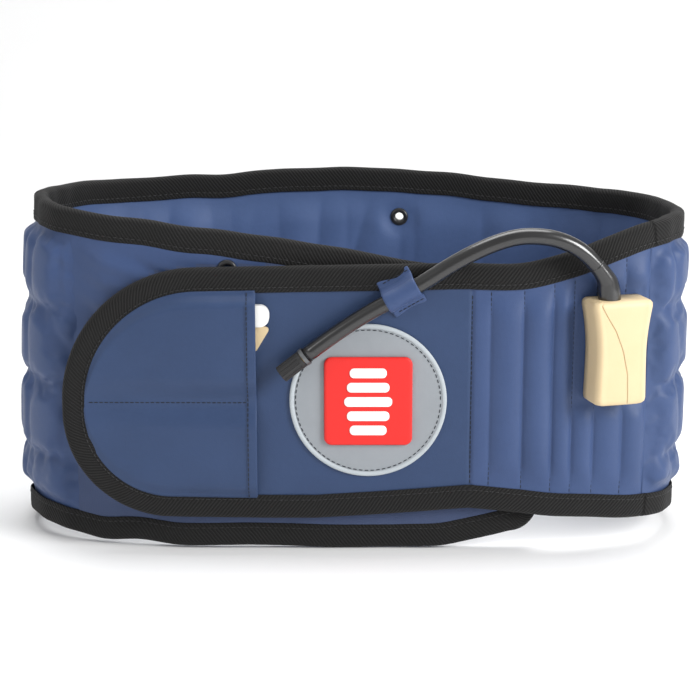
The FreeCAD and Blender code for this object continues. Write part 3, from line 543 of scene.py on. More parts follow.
CLOTH_GRAIN = coated_cloth_group()
TWILL = twill_group()
HANDLED = handled_group()
print("groups", [group.name for group in (CLOTH_GRAIN, TWILL, HANDLED)])

# %% [markdown]
# # Finishes
# The band is navy polyurethane-coated cloth: smooth, with a soft shine on its folds. The binding is
# matt black twill. The hose is glossy black rubber, the housing cream plastic, the patch grey
# leatherette and the badge soft red rubber. Each finish is a short call on one of the groups.

# %% Finishes
def linear(code):
    """A colour from its six-figure screen code."""
    parts = [int(code[k:k + 2], 16) / 255 for k in (0, 2, 4)]
    return tuple(c / 12.92 if c < 0.04045 else ((c + 0.055) / 1.055) ** 2.4 for c in parts) + (1.0,)


def finish(name, group, values, place="uv", shader=None):
    """A Principled material whose colour, roughness and normal come from a group."""
    material = bpy.data.materials.new(name)
    material.use_nodes = True
    tree = material.node_tree
    principled = tree.nodes["Principled BSDF"]
    for key, value in (shader or {}).items():
        principled.inputs[key].default_value = value
    effect = tree.nodes.new("ShaderNodeGroup")
    effect.node_tree = group
    for key, value in values.items():
        effect.inputs[key].default_value = value
    if place == "uv":
        source = tree.nodes.new("ShaderNodeUVMap")
        source.uv_map = "metres"
        tree.links.new(source.outputs["UV"], effect.inputs["Place"])
    else:
        source = tree.nodes.new("ShaderNodeTexCoord")
        tree.links.new(source.outputs["Object"], effect.inputs["Place"])
    tree.links.new(effect.outputs["Colour"], principled.inputs["Base Color"])
    tree.links.new(effect.outputs["Roughness"], principled.inputs["Roughness"])
    tree.links.new(effect.outputs["Normal"], principled.inputs["Normal"])
    return material


def cloth(name, colour, light, roughness=0.42, depth=0.22, grain=1500.0, sheen=0.04):
    shader = {"Sheen Weight": sheen, "Sheen Roughness": 0.5, "Specular IOR Level": 0.3}
    values = {"Colour": linear(colour), "Light tone": linear(light), "Roughness": roughness,
              "Depth": depth, "Grain per metre": grain}
    return finish(name, CLOTH_GRAIN, values, shader=shader)


def moulded(name, colour, worn, roughness, scuffs=0.3, texture=900.0, **shader):
    values = {"Colour": linear(colour), "Worn tone": linear(worn), "Roughness": roughness,
              "Scuffs": scuffs, "Texture per metre": texture}
    keys = {key.replace("_", " "): value for key, value in shader.items()}
    return finish(name, HANDLED, values, place="object", shader=keys)


NAVY = cloth("navy coated cloth", "2C3E62", "3A4D75")
# The flap's navy is a copy of the panel's cloth painted darker: painted shade for the flap lying in less of
# the light from the right.
NAVY_FLAP_PAINTED_SHADE = cloth("navy flap cloth with painted shade", "243655", "2F4265")
NAVY_LINING = cloth("navy lining cloth", "3A4E75", "495E88", roughness=0.5)
LOOP_PILE = cloth("navy loop pile", "333F5C", "414E6E", roughness=0.7, depth=0.6, grain=900.0, sheen=0.15)
HOOKS = cloth("black hook tape", "101216", "1E2127", roughness=0.6, depth=1.0, grain=700.0)
TAPE = finish("black twill tape", TWILL,
              {"Colour": linear("161616"), "Rib tone": linear("2C2B2B"),
               "Ribs per metre": 560.0, "Depth": 0.6},
              shader={"Sheen Weight": 0.05, "Sheen Roughness": 0.6, "Specular IOR Level": 0.12})
THREAD_DARK = moulded("dark sewing thread", "10151F", "1C2433", 0.7)
RUBBER = moulded("black hose rubber", "0D0D0E", "1E1E20", 0.2, scuffs=0.35,
                 Coat_Weight=0.6, Coat_Roughness=0.12)
CREAM = moulded("cream plastic", "CDB68E", "D9C6A2", 0.36, scuffs=0.5, texture=1400.0)
GREY_PATCH = moulded("grey leatherette", "80858A", "93989D", 0.45, scuffs=0.8, texture=1500.0)
PATCH_RIM = moulded("light grey edge", "A2A9AE", "B4BBBF", 0.5, scuffs=0.6, texture=1500.0)
RED = moulded("red soft rubber", "D3140E", "E0281F", 0.45, scuffs=0.5, texture=700.0)
WHITE = moulded("white soft rubber", "F2F2F0", "E0E0DC", 0.5, scuffs=0.4)
WHITE_PLASTIC = moulded("white plastic", "E9E9E6", "D2D2CC", 0.35)
STEEL = moulded("brushed steel", "B9BBBD", "8F9193", 0.25, scuffs=0.6, Metallic=1.0)
DULL_STEEL = moulded("dull steel", "77797B", "5A5C5E", 0.4, scuffs=0.6, Metallic=1.0)
BRASS = moulded("brass", "C9A227", "8A6A1F", 0.3, scuffs=0.6, Metallic=1.0)
BLACK_PLASTIC = moulded("black plastic", "161617", "2A2A2C", 0.42, scuffs=0.4)
BLACK_PAINT = moulded("black painted metal", "121214", "3A3A3C", 0.3, scuffs=0.3)
print(len(bpy.data.materials), "finishes")

# %% [markdown]
# # Hose
# The hose leaves the housing's boot upwards, bends over to the left and lies down across the flap,
# where a cloth loop holds it. Its line is one smooth spline through the bends' control points, and the
# tube is a round section carried along that line. It crosses the seam at which the flap opens, and its
# mesh is left in place there, attached to neither the belt nor the flap.

# %% Hose
HOSE_RADIUS = 4.7 * MM
HOSE_Y = FRONT_Y - 12.0 * MM
HOSE_ROUTE = [(145.6, 7.6, 169.5), (136.5, 5.0, 180.7), (124.2, 2.8, 189.0), (110.0, 1.2, 193.2),
              (90.9, 0.2, 193.0), (64.4, -0.3, 181.8), (36.2, 0.0, 163.0), (-1.6, 0.4, 142.7),
              (-25.9, 0.0, 123.7)]


def spline_line(route):
    """A smooth line through a NURBS spline with these control points, as an array of points."""
    curve = bpy.data.curves.new("line", "CURVE")
    curve.dimensions = "3D"
    curve.resolution_u = 12
    spline = curve.splines.new("NURBS")
    spline.points.add(len(route) - 1)
    for point, (x, y, z) in zip(spline.points, route):
        point.co = (x, y, z, 1)
    spline.order_u = 3
    spline.use_endpoint_u = True
    holder = bpy.data.objects.new("line", curve)
    mesh = bpy.data.meshes.new_from_object(holder)
    line = np.array([v.co for v in mesh.vertices])
    bpy.data.objects.remove(holder)
    return line


def tube(name, line, radii, material, sides=28):
    """A round tube along a line, turned as little as possible from station to station."""
    along = directions(line)
    out = np.cross(along[0], (0, 0, 1.0))
    outs = []
    for direction in along:
        out = out - direction * (out @ direction)
        out /= np.linalg.norm(out)
        outs.append(out)
    outs = np.array(outs)
    ups = np.cross(along, outs)
    turn = np.linspace(0, 2 * math.pi, sides, endpoint=False)
    circle = np.stack([np.cos(turn), np.sin(turn)], axis=1)
    radii = np.broadcast_to(radii, len(line))
    return sweep(name, line, circle[None] * radii[:, None, None], ups, outs, material)


hose_points = [(x * MM, HOSE_Y + y * MM, z * MM) for x, y, z in HOSE_ROUTE]
hose_line = spline_line(hose_points)
hose = tube("rubber_hose", hose_line, HOSE_RADIUS, RUBBER)


def bend_at_seam(piece):
    """Bakes the piece's placement into its mesh and leaves it attached to no body."""
    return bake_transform(piece)


bend_at_seam(hose)
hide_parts("hose")

# %% [markdown]
# # Front of the belt
# The flap and the panel of air columns beside it are one run of coated cloth with a sewn seam where
# the flap begins. The columns are sewn tubes: the cloth is pulled down at each line of stitches and
# swells between them. They fade out under the binding and lie flat behind the housing.

# %% Front cover
COLUMN_SEAMS = np.array([0.0, 10.8, 30.0, 47.5, 59.5, 73.0, 91.0, 106.0]) * MM
COLUMN_RISE = np.array([1.0, 3.4, 4.2, 3.4, 3.8, 3.0, 3.6]) * MM
FACE = 2.6 * MM
LINING_OUT = -2.3 * MM
CLOTH_INSET = 4 * MM             # from the belt's edge to the cloth's, under the tape
HOUSING_S, HOUSING_LOW, HOUSING_HIGH = 82 * MM, 93 * MM, 155 * MM


def columns(s, seams, rises):
    """Height of a row of sewn air columns, lowest at each seam."""
    which = np.clip(np.searchsorted(seams, s, side="right") - 1, 0, len(seams) - 2)
    across = np.clip((s - seams[which]) / (seams[which + 1] - seams[which]), 0, 1)
    lift = np.clip(1 - (2 * across - 1) ** 2, 0, 1) ** 0.62
    tilt = 0.75 + 0.5 * across * (1 - 0.4 * across)
    inside = (s >= seams[0]) & (s <= seams[-1])
    return np.where(inside, rises[which] * lift * tilt, 0)


PAST_TAPE = 20.5 * MM            # how far in from the edge the cloth may start to swell


def near_edge(s, z, inset=0.015, over=0.018):
    """0 at the bindings, 1 well inside."""
    return step_up(np.minimum(top_at(s) - z, z - bottom_at(s)), inset - 0.006, inset + over)


def front_face(s, z):
    """How far the front cover stands out from the wall's middle."""
    open_area = near_edge(s, z, PAST_TAPE, 0.014)
    beside = step_up(s, HOUSING_S - 0.030, HOUSING_S - 0.019)
    beside = beside * (1 - step_up(s, HOUSING_S + 0.019, HOUSING_S + 0.028))
    level = step_up(z, HOUSING_LOW - 0.014, HOUSING_LOW)
    behind = beside * level * (1 - step_up(z, HOUSING_HIGH, HOUSING_HIGH + 0.012))
    swell = columns(s, COLUMN_SEAMS, COLUMN_RISE) * (0.12 + 0.88 * open_area) * (1 - behind)
    slack = 0.5 * MM * ripples(s, z, 0.05, 0.10, 11) * step_up(s, 0.0, 0.02) * (1 - behind) * open_area
    calm = 0.22 * MM * ripples(s, z, 0.11, 0.08, 12) * (s < 0) * open_area
    sewn = -0.7 * MM * np.exp(-(s / (1.1 * MM)) ** 2)
    return FACE + swell + slack + calm + sewn


END_ROUND = 17 * MM


def band_grid(s_values, rows, inset):
    """Distances and heights of a grid that stays inside the outline by inset."""
    past = np.clip(s_values - (S_END - END_ROUND), 0, END_ROUND - 2 * MM)
    turned_in = END_ROUND - np.sqrt(END_ROUND ** 2 - past ** 2)
    low, high = bottom_at(s_values) + inset + turned_in, top_at(s_values) - inset - turned_in
    middle = (low + high) / 2
    low, high = np.minimum(low, middle - 0.5 * MM), np.maximum(high, middle + 0.5 * MM)
    share = np.linspace(0, 1, rows)
    z = low[:, None] + (high - low)[:, None] * share
    return np.broadcast_to(s_values[:, None], z.shape), z


tip_s = -flap_length + 3 * MM + 0.04 * (1 - np.cos(np.linspace(0, math.pi / 2, 26)))
flap_s = np.linspace(tip_s[-1], -0.004, 90)[1:]
panel_s = np.arange(-0.003, S_CELLS + 0.0001, 0.7 * MM)
front_s = np.concatenate([tip_s, flap_s, panel_s, [S_CELLS + 0.002]])
grid_s, grid_z = band_grid(front_s, 96, CLOTH_INSET)
front_cover = grid_piece("front_cover", place(grid_s, front_face(grid_s, grid_z), grid_z),
                         np.stack([grid_s, grid_z], axis=-1), NAVY_FLAP_PAINTED_SHADE)
# Right of the seam the panel takes the plain navy; the flap keeps the copy painted darker as shade.
front_cover.data.materials.append(NAVY)
for face in front_cover.data.polygons:
    face.material_index = int(face.center.x > SEAM_X)
bend_at_seam(front_cover)
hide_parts("flap_cover", "flap_board", "front_panel_cover", "front_panel_air_cells")

past_tip = np.arange(tip_s[-1] + 0.002, S_CELLS + 0.003, 0.002)
lining_s, lining_z = band_grid(np.concatenate([tip_s, past_tip]), 60, CLOTH_INSET)
lining_wave = 0.3 * MM * ripples(lining_s, lining_z, 0.06, 0.1, 21) * near_edge(lining_s, lining_z)
lining_wave = np.clip(lining_wave, -0.2 * MM, 0.6 * MM)
lining_out = LINING_OUT - lining_wave * (lining_s > 0)
front_lining = grid_piece("front_lining", place(lining_s, lining_out, lining_z),
                          np.stack([lining_s, lining_z], axis=-1), NAVY_LINING, flip=True)
bend_at_seam(front_lining)
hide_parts("flap_lining", "front_panel_lining")
print("front runs from", round(front_s[0], 3), "to", round(front_s[-1], 3))

# %% [markdown]
# # Gathered sides
# The sides hug the waist with elastic sewn across the back of a longer strip of cloth, so the cloth
# bunches into soft puffs. A drawn wrinkle pattern looks too regular, so the cloth is simulated: the
# strip starts an eighth too large both ways for its place, is held at its edges and along the
# elastic, and is let go. Light air pressure sends the spare cloth outwards. The rounded puffs
# between the elastic rows and the fine tucks beside them are added to what the cloth settles to.

# %% Gathered sides
ELASTIC_ROWS = np.array([52, 98, 144]) * MM
GATHER_BASE = 3.7 * MM
GATHER_STEP = 2.4 * MM
SPARE_CLOTH = 0.13
PUFF_RISE, TUCK_RISE = 5.6 * MM, 1.8 * MM
PUFF_PITCH, TUCK_PITCH = 23 * MM, 9.5 * MM
SETTLED_SHARE = 0.5
SETTLE_FRAMES = 24
MOST_SIDEWAYS = 3.5 * MM
GATHER_LEAST, GATHER_MOST = -1.0 * MM, 6.6 * MM


def puckers(s, z, seed):
    """Rounded puffs in each bay between elastic rows, and fine tucks beside the rows, from 0 to 1."""
    rows = np.concatenate([[6 * MM], ELASTIC_ROWS, [194 * MM]])
    bay = np.clip(np.searchsorted(rows, z) - 1, 0, len(rows) - 2)
    share = np.clip((z - rows[bay]) / (rows[bay + 1] - rows[bay]), 0, 1)
    bulge = np.sin(math.pi * share) ** 0.55
    wander = s + 6 * MM * ripples(s, z, 0.045, 0.07, seed + 20) + 11 * MM * np.sin(2.1 * bay + seed)
    puff = np.abs(np.sin(math.pi * wander / PUFF_PITCH)) ** 0.7
    from_row = np.min(np.abs(z[..., None] - ELASTIC_ROWS), axis=-1)
    tucks = np.abs(np.sin(math.pi * wander / TUCK_PITCH)) * np.exp(-(from_row / (9 * MM)) ** 2)
    return bulge * (0.25 + 0.75 * puff), tucks


def gathered_side(name, start, end, seed, replaced):
    """A strip of cloth bunched by elastic between two distances along the band."""
    along = np.linspace(start - 0.001, end + 0.001, int((end - start) / GATHER_STEP))
    s, z = band_grid(along, 76, 6 * MM)
    rng = np.random.default_rng(seed)
    inside = near_edge(s, z, PAST_TAPE, 0.006)
    ends = step_up(np.minimum(s - along[0], along[-1] - s), 0, 0.012)
    held = (inside < 0.4) | (ends < 0.05)
    for height in ELASTIC_ROWS:
        row = np.abs(z - height) < 1.3 * MM
        held |= row & (np.arange(len(along)) % 4 == 0)[:, None]
    start_shape = 0.7 * MM * ripples(s, z, 0.022, 0.05, seed) * inside * ends
    start_shape = start_shape + 0.2 * MM * rng.normal(0, 1, s.shape)
    stand = 2.5 * MM + (GATHER_BASE - 2.5 * MM) * inside * ends
    base = place(s, stand, z)
    shape = place(s, stand + np.where(held, 0, start_shape), z)
    uv = np.stack([s, z], axis=-1)
    piece = grid_piece(name, shape, uv, NAVY)
    flat_out = (base - place(s, stand - MM, z)) / MM
    puffs, tucks = puckers(s, z, seed)
    drawn = (PUFF_RISE * puffs + TUCK_RISE * tucks - 0.6 * MM) * inside * ends
    group = piece.vertex_groups.new(name="sewn")
    group.add(np.flatnonzero(held.ravel()).tolist(), 1.0, "REPLACE")
    cloth_settings = piece.modifiers.new("cloth", "CLOTH")
    settings = cloth_settings.settings
    settings.quality = 6
    settings.mass = 0.25
    settings.tension_stiffness = settings.compression_stiffness = 18
    settings.shear_stiffness = 8
    settings.bending_stiffness = 1.6
    settings.vertex_group_mass = "sewn"
    settings.shrink_min = -SPARE_CLOTH
    settings.use_pressure = True
    settings.uniform_pressure_force = 2.5
    settings.air_damping = 3
    settings.effector_weights.gravity = 0
    cloth_settings.collision_settings.use_collision = False
    scene = bpy.context.scene
    cloth_settings.point_cache.frame_start = 1
    cloth_settings.point_cache.frame_end = SETTLE_FRAMES
    for number in range(1, SETTLE_FRAMES + 1):
        scene.frame_set(number)
    settled = piece.evaluated_get(bpy.context.evaluated_depsgraph_get()).to_mesh()
    moved = np.empty(len(settled.vertices) * 3)
    settled.vertices.foreach_get("co", moved)
    moved = moved.reshape(shape.shape)
    piece.modifiers.remove(cloth_settings)
    scene.frame_set(1)
    shift = moved - base
    out = (shift * flat_out).sum(axis=-1)
    sideways = shift - out[..., None] * flat_out
    longest = np.linalg.norm(sideways, axis=-1, keepdims=True)
    sideways *= np.minimum(1, MOST_SIDEWAYS / np.maximum(longest, 1e-6))
    middle = (GATHER_MOST + GATHER_LEAST) / 2
    half = (GATHER_MOST - GATHER_LEAST) / 2
    out = middle + half * np.tanh((out - middle) / half)
    out = np.where(held, np.clip(out, -MM, MM), out * SETTLED_SHARE) + drawn
    out = np.clip(out, GATHER_LEAST, GATHER_MOST)
    moved = base + sideways + out[..., None] * flat_out
    print(name, "puffs stand out by", round(float(out.max()) * 1000, 1), "mm")
    piece.data.vertices.foreach_set("co", moved.astype(np.float32).ravel())
    piece.data.update()
    smoother(piece)
    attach(piece, "belt")
    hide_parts(*replaced)
    return piece


for side, start, end, seed in (("right_side", S_CELLS, S_RIGHT, 5), ("left_side", S_BACK, S_LEFT, 8)):
    gathered_side(side + "_gathers", start, end, seed,
                  (side + "_cover", side + "_elastic_bands", side + "_air_cells"))

# %% [markdown]
# # Back, lining and under layer
# The back holds more air columns, which also show softly on the inside. The lining is one long sheet
# round the inside of the ring. Under the flap the band ends in a thinner layer, faced with loop pile
# that the flap's hook tape grips.

# %% Back, lining and under layer
BACK_COLUMNS = np.linspace(S_RIGHT + 0.004, S_BACK - 0.004, 13)
BACK_RISE = np.full(12, 3.0 * MM)
INNER_RISE, FOLD_RISE = 1.6 * MM, 2.6 * MM
EYELET_SHARE = 0.375             # of the back's length, from the right side
EYELET_S = S_RIGHT + EYELET_SHARE * (S_BACK - S_RIGHT)
eyelet_low, eyelet_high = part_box("back_eyelet")
BACK_EYELET = (eyelet_low + eyelet_high) / 2
under_low, under_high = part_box("under_eyelet")
UNDER_EYELET = (under_low + under_high) / 2
PUNCHED = 4.4 * MM


def punched(centre, radius=PUNCHED):
    """Keeps the faces that are outside a round hole seen along Y."""
    def keep(middles):
        return np.hypot(middles[:, 0] - centre.x, middles[:, 2] - centre.z) > radius
    return keep


def away_from_eyelet(s, z):
    """0 at the back's eyelet, 1 well away from it."""
    return 1 - np.exp(-(np.hypot(s - EYELET_S, z - BACK_EYELET.z) / (11 * MM)) ** 4)


back_s, back_z = band_grid(np.arange(S_RIGHT - 0.002, S_BACK + 0.0025, 1.4 * MM), 90, CLOTH_INSET)
flat_here = away_from_eyelet(back_s, back_z)
back_open = near_edge(back_s, back_z, PAST_TAPE, 0.014)
back_out = FACE + (columns(back_s, BACK_COLUMNS, BACK_RISE) * (0.12 + 0.88 * back_open)
                   + 0.5 * MM * ripples(back_s, back_z, 0.09, 0.07, 31) * back_open) * flat_here
back_cover = grid_piece("back_cover_cloth", place(back_s, back_out, back_z),
                        np.stack([back_s, back_z], axis=-1), NAVY, keep=punched(BACK_EYELET))
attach(back_cover, "belt")
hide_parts("back_cover", "back_air_cells")

ring_s, ring_z = band_grid(np.arange(S_CELLS - 0.002, S_END - 0.004, 1.6 * MM), 84, CLOTH_INSET)
inner_rows = np.concatenate([np.linspace(S_CELLS, S_RIGHT, 6)[:-1], BACK_COLUMNS[::2],
                             np.linspace(S_BACK, S_LEFT, 6)[1:]])
inner_flat = away_from_eyelet(ring_s, ring_z)
calm_inside = near_edge(ring_s, ring_z, PAST_TAPE, 0.016)
folds = ripples(ring_s + 0.15 * (ring_z - 0.1), ring_z, 0.05, 0.3, 41)
inner_out = LINING_OUT - (columns(ring_s, inner_rows, np.full(len(inner_rows) - 1, INNER_RISE))
                         + FOLD_RISE * np.abs(folds)) * calm_inside * inner_flat * (ring_s < S_LEFT + 0.03)
lining = grid_piece("ring_lining", place(ring_s, inner_out, ring_z), np.stack([ring_s, ring_z], axis=-1),
                    NAVY_LINING, flip=True, keep=punched(BACK_EYELET))
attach(lining, "belt")
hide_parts("right_side_lining", "back_lining", "left_side_lining", "under_lining")

under_s, under_z = band_grid(np.arange(S_LEFT - 0.002, S_END - 0.004, 1.6 * MM), 80, CLOTH_INSET)
lined = grid_piece("under_cover_cloth", place(under_s, 2.2 * MM, under_z),
                   np.stack([under_s, under_z], axis=-1), NAVY)
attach(lined, "belt")
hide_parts("under_cover", "under_foam")

slack_here = near_edge(under_s, under_z, PAST_TAPE, 0.010)
slack_here = slack_here * (1 - step_up(under_s, S_LEFT + 0.06, S_LEFT + 0.17))
creases = np.abs(ripples(under_s, under_z + 0.25 * (under_s - S_LEFT), 0.09, 0.022, 52)) - 0.5
creased = slack_here * (2.6 * MM * creases + 1.5 * MM) * step_up(under_s, S_LEFT - 0.002, S_LEFT + 0.02)
uneven = 0.25 * MM * ripples(under_s, under_z, 0.08, 0.03, 53) * near_edge(under_s, under_z)
pile_out = 2.5 * MM + 1.1 * MM * near_edge(under_s, under_z, 0.015, 0.004) + creased + uneven
pile = grid_piece("loop_pile_cloth", place(under_s, pile_out, under_z),
                  np.stack([under_s, under_z], axis=-1), LOOP_PILE, keep=punched(UNDER_EYELET))
pile.data.materials.append(NAVY)
for face in pile.data.polygons:
    face.material_index = int(face.center.x < FLAP_TIP or face.center.z > flap_top(face.center.x))
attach(pile, "belt")
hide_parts("loop_pile")

# %% [markdown]
# # Bindings
# Every cut edge is closed by a twill tape folded over it. The tape is a folded section carried along
# the edge: round at the fold, with a pressed leg on each side. It stands off a little further on the
# gathered sides, and it waves slightly, as a sewn tape does on soft cloth.

# %% Bindings
TAPE_WIDTH = 15 * MM
TAPE_STEP = 1.8 * MM


def tape_section(inner, outer):
    """The folded tape's section as (distance out, distance in from the fold), for one station."""
    fold = np.radians(np.linspace(180, 0, 9))
    half, middle = (outer + inner) / 2 + 0.9 * MM, (outer - inner) / 2
    outside = [(middle - half + 0.25 * MM, TAPE_WIDTH), (middle - half + 0.02 * MM, TAPE_WIDTH - 0.5 * MM),
               (middle - half - 0.05 * MM, 12.4 * MM), (middle - half + 0.2 * MM, 11.6 * MM),
               (middle - half, 10.4 * MM), (middle - half - 0.1 * MM, 6.5 * MM)]
    bend = [(middle + half * math.cos(t), 3.0 * MM * (1 - math.sin(t))) for t in fold]
    back = [(2 * middle - out, up) for out, up in reversed(outside)]
    thin = half - 0.85 * MM
    inside = [(middle + thin, TAPE_WIDTH), (middle + thin, 8 * MM)]
    inside += [(middle + thin * math.cos(t), 3.4 * MM - 2.5 * MM * math.sin(t)) for t in fold[::-1][::2]]
    inside += [(middle - thin, 8 * MM), (middle - thin, TAPE_WIDTH)]
    return np.array(outside + bend + back + inside)


def path_frame(path, turn):
    """The direction into the cloth, at each point of a path in the unrolled band."""
    along = directions(path)
    return turn * np.stack([-along[:, 1], along[:, 0]], axis=1)


def resampled(path, step):
    """The path with even steps."""
    travel = travelled(path)
    even = np.linspace(0, travel[-1], int(travel[-1] / step) + 1)
    return np.stack([np.interp(even, travel, path[:, k]) for k in (0, 1)], axis=1)


def gathered_share(s):
    """1 on the gathered sides and 0 elsewhere."""
    right = step_up(s, S_CELLS + 0.001, S_CELLS + 0.014) * (1 - step_up(s, S_RIGHT - 0.012, S_RIGHT - 0.001))
    left = step_up(s, S_BACK + 0.001, S_BACK + 0.012) * (1 - step_up(s, S_LEFT - 0.012, S_LEFT - 0.001))
    return right + left


STITCHES_IN = 12.0 * MM          # from the fold to the row of stitches
TAPE_INSIDE = 2.7 * MM           # from the wall's middle to the tape
GATHERS_OUT = 1.5 * MM           # how much further out the tape is on a gathered side


def binding(name, path, turn, seed, replaced):
    """A folded tape along a path of (distance, height) in the unrolled band."""
    path = resampled(path, TAPE_STEP)
    into = path_frame(path, turn)
    puffed = gathered_share(path[:, 0])
    travel = np.arange(len(path)) * TAPE_STEP
    wave = 0.18 * MM * ripples(travel, 0, 0.035, 1, seed)
    wave = wave + puffed * 0.7 * MM * ripples(travel, 0, 0.022, 1, seed + 1)
    rise = 0.25 * MM * ripples(travel, 0, 0.05, 1, seed + 2) * (path[:, 0] > 0)
    sections = np.array([tape_section(TAPE_INSIDE, TAPE_INSIDE + p * GATHERS_OUT) for p in puffed])
    outs = sections[..., 0] + wave[:, None]
    depth = sections[..., 1] + rise[:, None]
    s = path[:, :1] + into[:, :1] * depth
    z = path[:, 1:] + into[:, 1:] * depth
    points = place(s, outs, z)
    count, ring = points.shape[:2]
    faces = closed_faces(count, ring, flip=turn > 0)
    uv = np.stack(np.meshgrid(travel, travelled(sections[0]), indexing="ij"), axis=-1)
    piece = make_piece(name, points.reshape(-1, 3), faces, uv.reshape(-1, 2), TAPE)
    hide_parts(*replaced)
    lines = []
    for side in (1, -1):
        out = (TAPE_INSIDE + 0.95 * MM + (puffed * GATHERS_OUT if side > 0 else 0)) * side + wave
        s_row, z_row = path[:, 0] + into[:, 0] * STITCHES_IN, path[:, 1] + into[:, 1] * STITCHES_IN
        lines.append((place(s_row, out, z_row), place(s_row, out + side * MM, z_row)))
    return piece, travel[-1], lines


around = np.linspace(0, math.pi / 2, 40)
top_x = np.linspace(SEAM_X, FLAP_TIP + TOP_RADIUS, 80)
low_x = np.linspace(FLAP_TIP + BOTTOM_RADIUS, SEAM_X, 80)
top_arc = FLAP_TIP + TOP_RADIUS - TOP_RADIUS * np.sin(around)
low_arc = FLAP_TIP + BOTTOM_RADIUS - BOTTOM_RADIUS * np.cos(around)
panel = np.linspace(S_CELLS, 0.0015, 50)
front_path = np.concatenate([
    np.column_stack([panel, top_at(panel)]),
    np.column_stack([top_x - SEAM_X, flap_top(top_x)]),
    np.column_stack([top_arc - SEAM_X, flap_top(top_arc)])[1:],
    np.column_stack([low_arc - SEAM_X, flap_bottom(low_arc)]),
    np.column_stack([low_x - SEAM_X, flap_bottom(low_x)])[1:],
    np.column_stack([panel[::-1], bottom_at(panel[::-1])])])
front_nodes = ("flap_binding", "front_panel_top_binding", "front_panel_bottom_binding")
front_binding, front_tape_length, front_rows = binding("front_binding", front_path, 1, 61, front_nodes)
bend_at_seam(front_binding)

run = np.arange(S_CELLS, S_END - END_ROUND, 2 * MM)
end_s = S_END - END_ROUND
end_top, end_low = float(top_at(end_s)), float(bottom_at(end_s))
ring_path = np.concatenate([
    np.column_stack([run, top_at(run)]),
    np.column_stack([end_s + END_ROUND * np.sin(around), end_top - END_ROUND * (1 - np.cos(around))]),
    np.column_stack([end_s + END_ROUND * np.cos(around), end_low + END_ROUND * (1 - np.sin(around))]),
    np.column_stack([run[::-1], bottom_at(run[::-1])])])
ring_nodes = [part + edge for part in ("right_side", "back", "left_side", "under")
              for edge in ("_top_binding", "_bottom_binding")]
ring_binding, ring_tape_length, ring_rows = binding("ring_binding", ring_path, -1, 71, ring_nodes)
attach(ring_binding, "belt")
print("tape lengths", round(front_tape_length, 3), round(ring_tape_length, 3))

# %% [markdown]
# # Pocket and hook tape
# The pocket is one panel sewn to the flap round its curved edge and along a level seam, so it has two
# compartments open at the right. The cloth is pulled down at the seams and lifts towards the mouth,
# where it is hemmed. It is made as a grid whose height comes from those distances.

# %% Pocket
POCKET_MOUTH = -55.5 * MM
POCKET_SEAM = 93.5 * MM
POCKET_IN = 13.6 * MM
COVER_FACE = 2.9 * MM


def pocket_edges(x):
    """Heights of the pocket's lower and upper edge, everywhere the same distance inside the flap's."""
    top_reach = np.clip(FLAP_TIP + TOP_RADIUS - x, 0, TOP_RADIUS - POCKET_IN)
    low_reach = np.clip(FLAP_TIP + BOTTOM_RADIUS - x, 0, BOTTOM_RADIUS - POCKET_IN)
    top_level = flap_top(np.maximum(x, FLAP_TIP + TOP_RADIUS))
    low_level = flap_bottom(np.maximum(x, FLAP_TIP + BOTTOM_RADIUS))
    top = top_level - TOP_RADIUS + np.sqrt((TOP_RADIUS - POCKET_IN) ** 2 - top_reach ** 2)
    low = low_level + BOTTOM_RADIUS - np.sqrt((BOTTOM_RADIUS - POCKET_IN) ** 2 - low_reach ** 2)
    return low, top


def pocket_face(x, z):
    """How far the pocket's cloth stands out from the wall's middle."""
    low, top = pocket_edges(x)
    edge = np.minimum(top - z, z - low)
    from_seam = np.abs(z - POCKET_SEAM)
    to_mouth = step_up(x, FLAP_TIP + 0.015, POCKET_MOUTH - 0.018)
    upper = step_up(z, POCKET_SEAM, POCKET_SEAM + 0.004)
    lift = step_up(edge, 0.0002, 0.0085) * step_up(from_seam, 0.0005, 0.016)
    height = (2.2 + 3.9 * upper + 1.4 * (1 - upper)) * MM
    soft = 0.25 * MM * ripples(x, z, 0.05, 0.035, 81) * step_up(edge, 0, 0.02)
    room = lift * (0.25 + 0.75 * to_mouth) * height
    return COVER_FACE + room + np.maximum(soft, -0.1 * MM) + 0.5 * MM * to_mouth


pocket_x = np.concatenate([FLAP_TIP + POCKET_IN + 0.031 * (1 - np.cos(np.linspace(0, math.pi / 2, 26))),
                           np.linspace(FLAP_TIP + 46.5 * MM, POCKET_MOUTH, 56)])
pocket_low, pocket_top = pocket_edges(pocket_x)
share = np.linspace(0, 1, 90)
pocket_z = pocket_low[:, None] + (pocket_top - pocket_low)[:, None] * share
pocket_xx = np.broadcast_to(pocket_x[:, None], pocket_z.shape)


def flap_sheet(name, x, z, out, material):
    """A grid of cloth on the flap at distance out from the wall's middle."""
    points = np.stack([x, FRONT_Y - out, z], axis=-1)
    return grid_piece(name, points, np.stack([x, z], axis=-1), material)


# The pocket and its hem use the flap's cloth, so they carry the same painted shade.
pocket = flap_sheet("pocket_cloth", pocket_xx, pocket_z, pocket_face(pocket_xx, pocket_z), NAVY_FLAP_PAINTED_SHADE)
thick = pocket.modifiers.new("cloth", "SOLIDIFY")
thick.thickness, thick.offset = 0.8 * MM, 1.0
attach(pocket, "flap")
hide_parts("pocket_panel")

